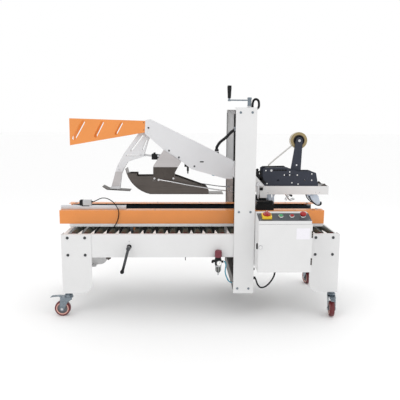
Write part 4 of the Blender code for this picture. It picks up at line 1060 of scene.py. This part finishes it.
def rails():
    dress("orange_paint", "rail_near", "rail_far", edge=1)
    left, right = BELT_ENDS
    inner = BELT_RADIUS - BELT_THICK
    rim = inner - BELT_THICK
    for side, name in ((-1, "near"), (1, "far")):
        body = f"rail_{name}"
        middle = side * BELT_MIDDLE
        outer = arc(right, middle, BELT_RADIUS, -90, 90, 17) + arc(left, middle, BELT_RADIUS, 90, 270, 17)
        inside = []
        for start, end, way in ((left, right, 1), (right, left, -1)):
            for i in range(int((right - left) / TOOTH_PITCH)):
                for along, depth in TOOTH:
                    x = start + way * (i + along) * TOOTH_PITCH
                    inside.append((x, middle - way * (inner - depth)))
            inside += arc(end, middle, inner, -90 * way, 180 - 90 * way, 15)
        belt = Shape().slab("XY", outer, 590, 652, [inside])
        piece(f"belt_{name}_toothed", body, "belt_rubber", belt, [f"belt_{name}"], edge=0)
        pulleys, axles, sleeves, nuts = Shape(), Shape(), Shape(), Shape()
        y = across(side, 132.4, 157.6)
        for x in BELT_ENDS:
            for r, low, high in ((rim, 589, 653), (rim + 2, 586, 588.5), (rim + 2, 653.5, 656)):
                pulleys.turned(sleeve(6, r, low, high), upright(x, middle))
            axles.rod((x, middle, 578), (x, middle, 666.5), 5.5, 20)
            axles.rod((x, middle, 663.5), (x, middle, 669), 9.5, 6)
        for x in (-600, -300, 0, 620):
            axles.rod((x, side * 156, 663.5), (x, side * 156, 666.5), 5.5, 6)
        for x, z in SPINDLES:
            sleeves.block((x - 9.8, y[0], 484.5), (x + 9.8, y[1], 556.6))
            nuts.rod((x, side * 131.6, z), (x, side * 158.6, z), 15, 6)
            nuts.rod((x, side * 130, z), (x, side * 160.2, z), 11.8, 28)
        low, high = across(side, 108.5, 169.5)
        foot = Shape().block((-853.5, low, 556.5), (806.5, high, 575.8))
        piece(f"belt_pulleys_{name}", body, "aluminium", pulleys, edge=0)
        piece(f"rail_fittings_{name}", body, "steel", axles, edge=0.3)
        piece(f"rail_foot_{name}", body, "frame_paint", foot, edge=1.2)
        piece(f"spindle_posts_{name}", body, "zinc", sleeves, edge=1)
        piece(f"spindle_nuts_{name}", body, "turned_steel", nuts, edge=0.5)
        motor(side, name, body)


def motor(side, name, body):
    """The drive unit on a rail: a finned gearbox case and its drive pulley."""
    middle = side * BELT_MIDDLE
    low, high = across(side, 105, 166)
    shape, metal = Shape(), Shape()
    shape.block((362.5, low + 1, RAIL_TOP + 0.7), (477.5, high - 1, 700))
    for fin in range(13):
        x = 366 + fin * 8.8
        shape.block((x, low + 0.5, 699), (x + 4.2, high - 0.5, 721.5))
    shape.block((368, low + 4, 699), (472, high - 4, 717))
    shape.rod((MOTOR_X, middle, 592), (MOTOR_X, middle, 650), 23, 40)
    case = f"belt_motor_{name}"
    piece(f"{case}_case", body, "black_plastic", shape, [case], edge=0.9)
    metal.rod((MOTOR_X, middle, 646), (MOTOR_X, middle, 664.5), 6.5)
    for x in (368, 472):
        for y in (low + 6, high - 6):
            metal.rod((x, y, 699), (x, y, 723.5), 2.8, 6)
    piece(f"{case}_screws", body, "steel", metal, edge=0.3)


def sensor():
    low = RAIL_TOP + 0.6
    top = 688.5 - low
    half = [(12, 0), (12, 9), (8.5, 9), (8.5, 15), (12, 15), (12, top)]
    half += [(4, top), (4, top - 4)]
    outline = [(SENSOR_Y + a, low + b) for a, b in half + [(-a, b) for a, b in reversed(half)]]
    guide = Shape().slab("YZ", outline, -916.5, -491.3)
    piece("sensor_guide", "rail_near", "aluminium", guide, ["carton_sensor"], edge=0.4)
    box = Shape().slab("XZ", rounded(-772, 689.5, -718, 724.5, 3), -131.5, -100.5)
    piece("sensor_housing", "rail_near", "housing", box, edge=1.2)
    lens = Shape().slab("XZ", rounded(-793.5, 689, -771.5, 725, 4), -132, -100)
    lens.block((-780, -132.5, 684.5), (-730, -99.5, 689.8))
    lens.rod((-718.5, SENSOR_Y, 712), (-708, SENSOR_Y, 712), 5.8, 20)
    piece("sensor_front", "rail_near", "black_plastic", lens, edge=0.8)
    dress("black_rubber", "sensor_cable", edge=0)
    spots = path("-765 -131.5 693.5, -724 -131.5 720, -909 -128 676.5, -500 -128 676.5")
    cap_screws("sensor_screws", "rail_near", "steel", [(spot, NEAR) for spot in spots], 2.4)


def width_spindles():
    for (x, z), body, low in zip(SPINDLES, ("width_spindle_infeed", "width_spindle_outfeed"), (-360, -305)):
        place = facing((x, 0, z), FAR)
        shape = Shape()
        for start, end in THREADED_SPANS:
            threaded(9, 1.3, start, end, place, shape)
        for profile in (
            disc(9, -63, 63),
            [(0, low), (8.2, low), (9, low + 1), (9, -284), (0, -284)],
            path("0 284, 9 284, 9 304, 0 305"),
            sleeve(8.5, 15, -9, 9),
        ):
            shape.turned(profile, place, 24)
        piece(f"{body}_thread", body, "turned_steel", shape, [body], edge=0)
    x, z = SPINDLES[0]
    tip = (x - 36, z - 136)
    boss = path("0 -373.5, 10.5 -373.5, 13 -371.5, 13.5 -352, 12 -350.5, 0 -350.5")
    crank = Shape().turned(boss, facing((x, 0, z), FAR), 28)
    crank.slab("XZ", stadium((x, z), tip, 8.2, 9), -369.8, -362.5)
    crank.rod((tip[0], -370, tip[1]), (tip[0], -360.5, tip[1]), 7.5, 6)
    piece("width_crank_arm", "width_spindle_infeed", "bolt_steel", crank, edge=0.8)
    grip = path("0 -410, 8.5 -410, 11.5 -408.5, 12.2 -404, 11.2 -390, 9.6 -374.5")
    knob = Shape().turned(grip + [(7, -371.5), (0, -371.5)], facing((tip[0], 0, tip[1]), FAR), 28)
    piece("width_crank_knob", "width_spindle_infeed", "black_plastic", knob, edge=0)
    ears = Shape()
    ear = path("10.8 311, 20 311, 20 308, 16 296, 10.8 296")
    for side in SIDES:
        for sx, sz in SPINDLES:
            ears.turned(ear, facing((sx, 0, sz), (0, side, 0)), 28)
    ears.turned(path("11.2 314, 15 314, 14.5 317.5, 11.2 317.5"), facing((x, 0, z), NEAR), 28)
    piece("spindle_bearings", "frame", "black_plastic", ears, edge=0)


# ---- control cabinet ------------------------------------------------------------------------------

BOX_LEFT, BOX_RIGHT = 332.4, 650.6
BOX_MIDDLE = (BOX_LEFT + BOX_RIGHT) / 2
BOX_BACK = -320
PANEL_TILT = math.atan2(28.6, 96.5)
BUTTONS = {"main_switch": 386, "start_button": 472.8, "stop_button": 539.1, "estop_button": 606}
COLLAR = path("11.7 1, 16.5 1, 16.5 8, 15 10.6, 12.2 11, 11.7 10")
CAP = path("0 6.6, 11.2 6.6, 11.2 14.5, 10.4 15.8, 8.5 16, 7.8 15.3")
CAP += [(0, 15)]
MUSHROOM = path("0 7.6, 10 7.6, 10 16.5, 17 17.2, 18.8 19, 19.2 23.5, 18 28.5, 14.5 31.8, 8 33.6, 0 34")
SWITCH = path("0 3.1, 14 3.1, 14 17, 21.5 17.6, 23.5 20, 23.5 24")
SWITCH += [(21, 26.2), (0, 26.2)]


def on_panel(x, height=0.0):
    """Stands a shape on the sloped panel at a place along it, its own Z out of the panel."""
    middle = Matrix.Translation((x, -430, 670.2))
    return middle @ Matrix.Rotation(PANEL_TILT, 4, "X") @ Matrix.Translation((0, 0, height))


def panel():
    """The sloped operator's panel with its switch and buttons."""
    sheet = Shape().slab("XY", rounded(-158.5, -47.2, 158.5, 51.2, 2), 0.1, 1.1)
    piece("panel_sheet", "frame", "panel", sheet.moved(on_panel(BOX_MIDDLE)), edge=0.4)
    screws = []
    for a in (-148, 148):
        for b in (-37, 41):
            place = on_panel(BOX_MIDDLE + a, 1.1)
            screws.append((place @ Vector((0, b, 0)), place.to_3x3() @ Vector((0, 0, 1))))
    cap_screws("panel_screws", "frame", "steel", screws, 2.6)

    place = on_panel(BUTTONS["main_switch"])
    plate = rounded(-28.5, -28.5, 28.5, 28.5, 5)
    base = Shape().slab("XY", plate, 0.8, 16.5, [ring(0, 0, 15, 32)])
    piece("switch_base", "frame", "yellow_plastic", base.moved(place), edge=1)
    marks = Shape().around(4, place, lambda s, i: s.block((24, -1.2, 16), (27.5, 1.2, 16.9)), math.pi / 4)
    piece("switch_marks", "frame", "black_plastic", marks, edge=0)
    collars = Shape()
    for name in ("start_button", "stop_button", "estop_button"):
        collars.turned(COLLAR, on_panel(BUTTONS[name]), 40)
    piece("button_collars", "frame", "turned_steel", collars, edge=0)
    for name, look in (("start_button", "green_plastic"), ("stop_button", "red_plastic")):
        cap = Shape().turned(CAP, on_panel(BUTTONS[name]), 36)
        piece(f"{name}_cap", name, look, cap, [name], edge=0)
    top = on_panel(BUTTONS["estop_button"])
    mark = stadium((8.5, -3.5), (8.5, 3.5), 1.2, 4)
    cap = Shape().turned(MUSHROOM, top, 40).around(3, top, lambda s, i: s.slab("XY", mark, 31.8, 34))
    piece("estop_cap", "estop_button", "red_plastic", cap, ["estop_button"], edge=0.3)

    switch = Shape().turned(SWITCH, place, 40)
    switch.around(16, place, lambda s, i: s.block((22, -1.4, 19.5), (24.2, 1.4, 24)))
    half = path("-6.2 -19.5, 6.2 -19.5, 7.8 0")
    since = len(switch.mesh.verts)
    switch.slab("XY", half + [(-a, -b) for a, b in half], 25, 35).moved(place, since)
    piece("switch_knob", "main_switch", "red_plastic", switch, ["main_switch"], edge=0.8)
    line = Shape().block((-0.9, 4, 34.5), (0.9, 18.5, 35.4)).moved(place)
    piece("switch_pointer", "main_switch", "white_plastic", line, edge=0)


def cabinet():
    dress("frame_paint", "control_box", "control_door", edge=1)
    panel()
    lip = Shape().block((BOX_LEFT + 0.5, -479.8, 637.2), (BOX_RIGHT - 0.5, -476, 655.8))
    piece("cabinet_lip", "frame", "frame_paint", lip, edge=1.2)
    blank = Shape().slab("XZ", rounded(560, 545, 640, 612, 2), -479.9, -479.4)
    piece("blank_label", "control_door", "label", blank, edge=0)
    latch = path("0 0.8, 11.5 0.8, 11.5 4, 10 5.5, 6.2 5.8, 6.2 4.5")
    latch = Shape().turned(latch + [(0, 4.5)], facing((346, -479.5, 496.8), NEAR), 28)
    piece("door_latch", "control_door", "steel", latch, edge=0)
    handle = Shape().block((BOX_LEFT - 7.5, -460, 480), (BOX_LEFT + 0.5, -444, 513))
    handle.slab("XZ", stadium((346, 491.8), (346, 501.8), 2.2), -486.2, -483.8)
    handle.block((BOX_LEFT - 8.5, -457, 489), (BOX_LEFT - 7, -447, 504))
    piece("side_latch", "frame", "black_plastic", handle, edge=1.2)
    hinges = Shape()
    for low, high in ((386.1, 429.7), (553.1, 596)):
        third = (high - low) / 3
        for start in (low, low + third, low + 2 * third):
            hinges.rod((655.1, -478.25, start + 0.4), (655.1, -478.25, start + third - 0.4), 4.6, 20)
        hinges.block((649, -475.5, low + 1), (652.5, -456, high - 1))
    piece("door_hinges", "frame", "dark_steel", hinges, edge=0.3)
    hole = rounded(BOX_LEFT + 12, 352.5, BOX_RIGHT - 10, 625.5, 4)
    seal = rounded(BOX_LEFT + 6, 346.5, BOX_RIGHT - 4, 631.5, 6)
    gasket = Shape().slab("XZ", seal, -476.4, -475.7, [hole])
    piece("door_gasket", "control_door", "black_rubber", gasket, edge=0)
    innards()
    glands = Shape()
    gland = path("5.2 0, 10 0, 10 6, 9 7, 9 15, 7 19, 5.2 19")
    glands.turned(gland, facing((448, -420, 339.5), (0, 0, -1)), 24)
    gland = path("5.2 0, 9.5 0, 9.5 5, 8.5 6, 8.5 13, 5.2 15")
    glands.turned(gland, facing((330, -323.3, 256), (1, 0, 0)), 24)
    glands.rod((329, -305, 309), (339, -305, 309), 8.5, 20)
    piece("cable_glands", "frame", "black_plastic", glands, edge=0.4)
    dress("black_plastic", "cabinet_cable", edge=0)


def innards():
    """What shows inside the cabinet when its door is open: back plate, rails, modules and ducts."""
    plate, bars, modules, ducts = Shape(), Shape(), Shape(), Shape()

    def box(shape, x, end, depth, back, low, high):
        """A block that stands off the cabinet's back from one depth to another."""
        shape.block((BOX_LEFT + x, BOX_BACK - depth, low), (BOX_LEFT + end, BOX_BACK - back, high))

    width = BOX_RIGHT - BOX_LEFT
    box(plate, 20, width - 20, 3, 0.8, 362, 622)
    for z in (575, 480):
        box(bars, 35, width - 35, 10.5, 3, z - 17.5, z + 17.5)
    for x in (45, 75, 105, 135, 165):
        box(modules, x, x + 27, 75, 9.5, 533, 618)
        box(modules, x + 8, x + 19, 81, 74, 565, 585)
    for step in range(12):
        x = 45 + step * 11.5
        box(modules, x, x + 10, 50, 9.5, 458, 502)
    box(modules, 212, 268, 85, 9.5, 452, 530)
    box(ducts, 30, width - 30, 40, 3, 383, 407)
    box(ducts, 30, width - 115, 40, 3, 508, 532)
    piece("cabinet_plate", "frame", "zinc", plate, edge=0.4)
    piece("cabinet_rails", "frame", "steel", bars, edge=0.8)
    piece("cabinet_modules", "frame", "black_plastic", modules, edge=0.8)
    piece("cabinet_ducts", "frame", "housing", ducts, edge=0.8)


# ---- compressed air -------------------------------------------------------------------------------

AIR_X, AIR_Y = 104, -345


def air_unit():
    x, y = AIR_X, AIR_Y
    middle = upright(x, y)
    body = Shape().slab("XY", rounded(x - 21, y - 20, x + 19, y + 20, 5), 350, 388)
    body.turned(disc(17.5, 387, 397.5), middle)
    body.rod((x - 18, y, 375), (x - 30, y, 375), 8.8, 6)
    body.rod((x - 29, y, 375), (x - 40, y, 375), 7)
    body.rod((x - 36, y, 375), (x - 36, y, 362), 6.8)
    body.rod((x + 16, y, 370), (x + 31, y, 370), 7.8)
    body.block((x - 12, y + 18, 360), (x + 12, -BED_SIDE - 0.5, 392))
    body.block((x - 18, -BED_SIDE - 3.5, 385), (x + 18, -BED_SIDE - 0.5, 420))
    piece("regulator_body", "frame", "black_plastic", body, ["air_regulator"], edge=0.8)
    cuff = Shape().turned(path("16.5 340, 19.2 340, 19.6 342, 19.6 350, 16.5 350"), middle)
    cuff.around(8, middle, lambda s, i: s.rod((18.6, 0, 341), (17, 0, 308), 1.1, 8))
    drain = path("0 303, 6 299, 6 290, 4.5 289, 4.5 283, 0 283")
    piece("bowl_guard", "frame", "housing", cuff.turned(drain, middle, 20), edge=0)
    bowl = path("0 349.5, 16.2 349.5, 16.5 320, 15 308, 10 302, 0 301")
    piece("regulator_bowl", "frame", "bowl", Shape().turned(bowl, middle), edge=0)

    place = facing((x + 4, y - 18, 368), NEAR)
    case = path("0 0, 14.5 0, 16 3, 16.5 15, 15 16.5, 14.2 14.5, 0 14.5")
    piece("gauge_case", "frame", "steel", Shape().turned(case, place, 36), edge=0)
    dial = Shape().turned(disc(13.9, 14.6, 15.1), place, 36)
    piece("gauge_dial", "frame", "white_plastic", dial, edge=0)
    first, step = math.radians(-135), math.radians(27)
    ticks = Shape()

    def tick(shape, number):
        shape.block((-0.3, 10.5 if number % 5 else 9.5, 15), (0.3, 13, 15.4))

    ticks.around(11, place, tick, first, step)
    needle = place @ Matrix.Rotation(math.radians(-38), 4, "Z")
    ticks.around(1, needle, lambda s, i: s.block((-0.4, -3, 15.4), (0.4, 9.8, 15.8)))
    ticks.around(1, needle, lambda s, i: s.rod((0, 0, 15), (0, 0, 16.2), 1.4, 16))
    piece("gauge_marks", "frame", "black_plastic", ticks, edge=0)

    outline = []
    for step in range(48):
        t = math.tau * step / 48
        r = 22.2 if step % 4 < 2 else 21.2
        outline.append((x + r * math.cos(t), y + r * math.sin(t)))
    cap = path("0 398.6, 18.5 398.6, 20.5 403, 20.5 432, 21.5 433.5, 21.2 439, 19 442.6, 15 443, 14 441.5")
    cap += [(0, 441.5)]
    knob = Shape().slab("XY", outline, 402, 433).turned(cap, middle, 40)
    grip = "regulator_knob"
    piece(f"{grip}_grip", grip, "knob_plastic", knob, [grip], edge=0.3)
    nut = path("4.3 30, 7.5 30, 7.5 33, 6.5 35, 4.3 35")
    fittings = Shape().turned(nut, facing((x, y, 370), (1, 0, 0)), 24)
    fittings.rod((198, -280, 211), (205, -280, 211), 7.2, 6)
    piece("hose_fittings", "frame", "steel", fittings, edge=0)
    dress("hose", "air_hose", edge=0)
    small = Shape().block((-600, -313.5, 379), (-572, -295, 390))
    small.rod((-578, -306, 382), (-590, -306, 372), 3.5, 12)
    small.rod((-102, -305, 390.5), (-102, -305, 368), 2.5, 12)
    piece("under_beam_bracket", "frame", "dark_steel", small, edge=0.4)


# ---- making the model -----------------------------------------------------------------------------

dress_bed()
rollers()
bed_bars()
lower_head()
casters()
columns()
lift()
mast_conduit_loop()
head_frame()
conduit()
kicker()
plough()
tape_tray()
tape_head()
tape_roll()
wipe_arms()
rails()
sensor()
width_spindles()
cabinet()
air_unit()
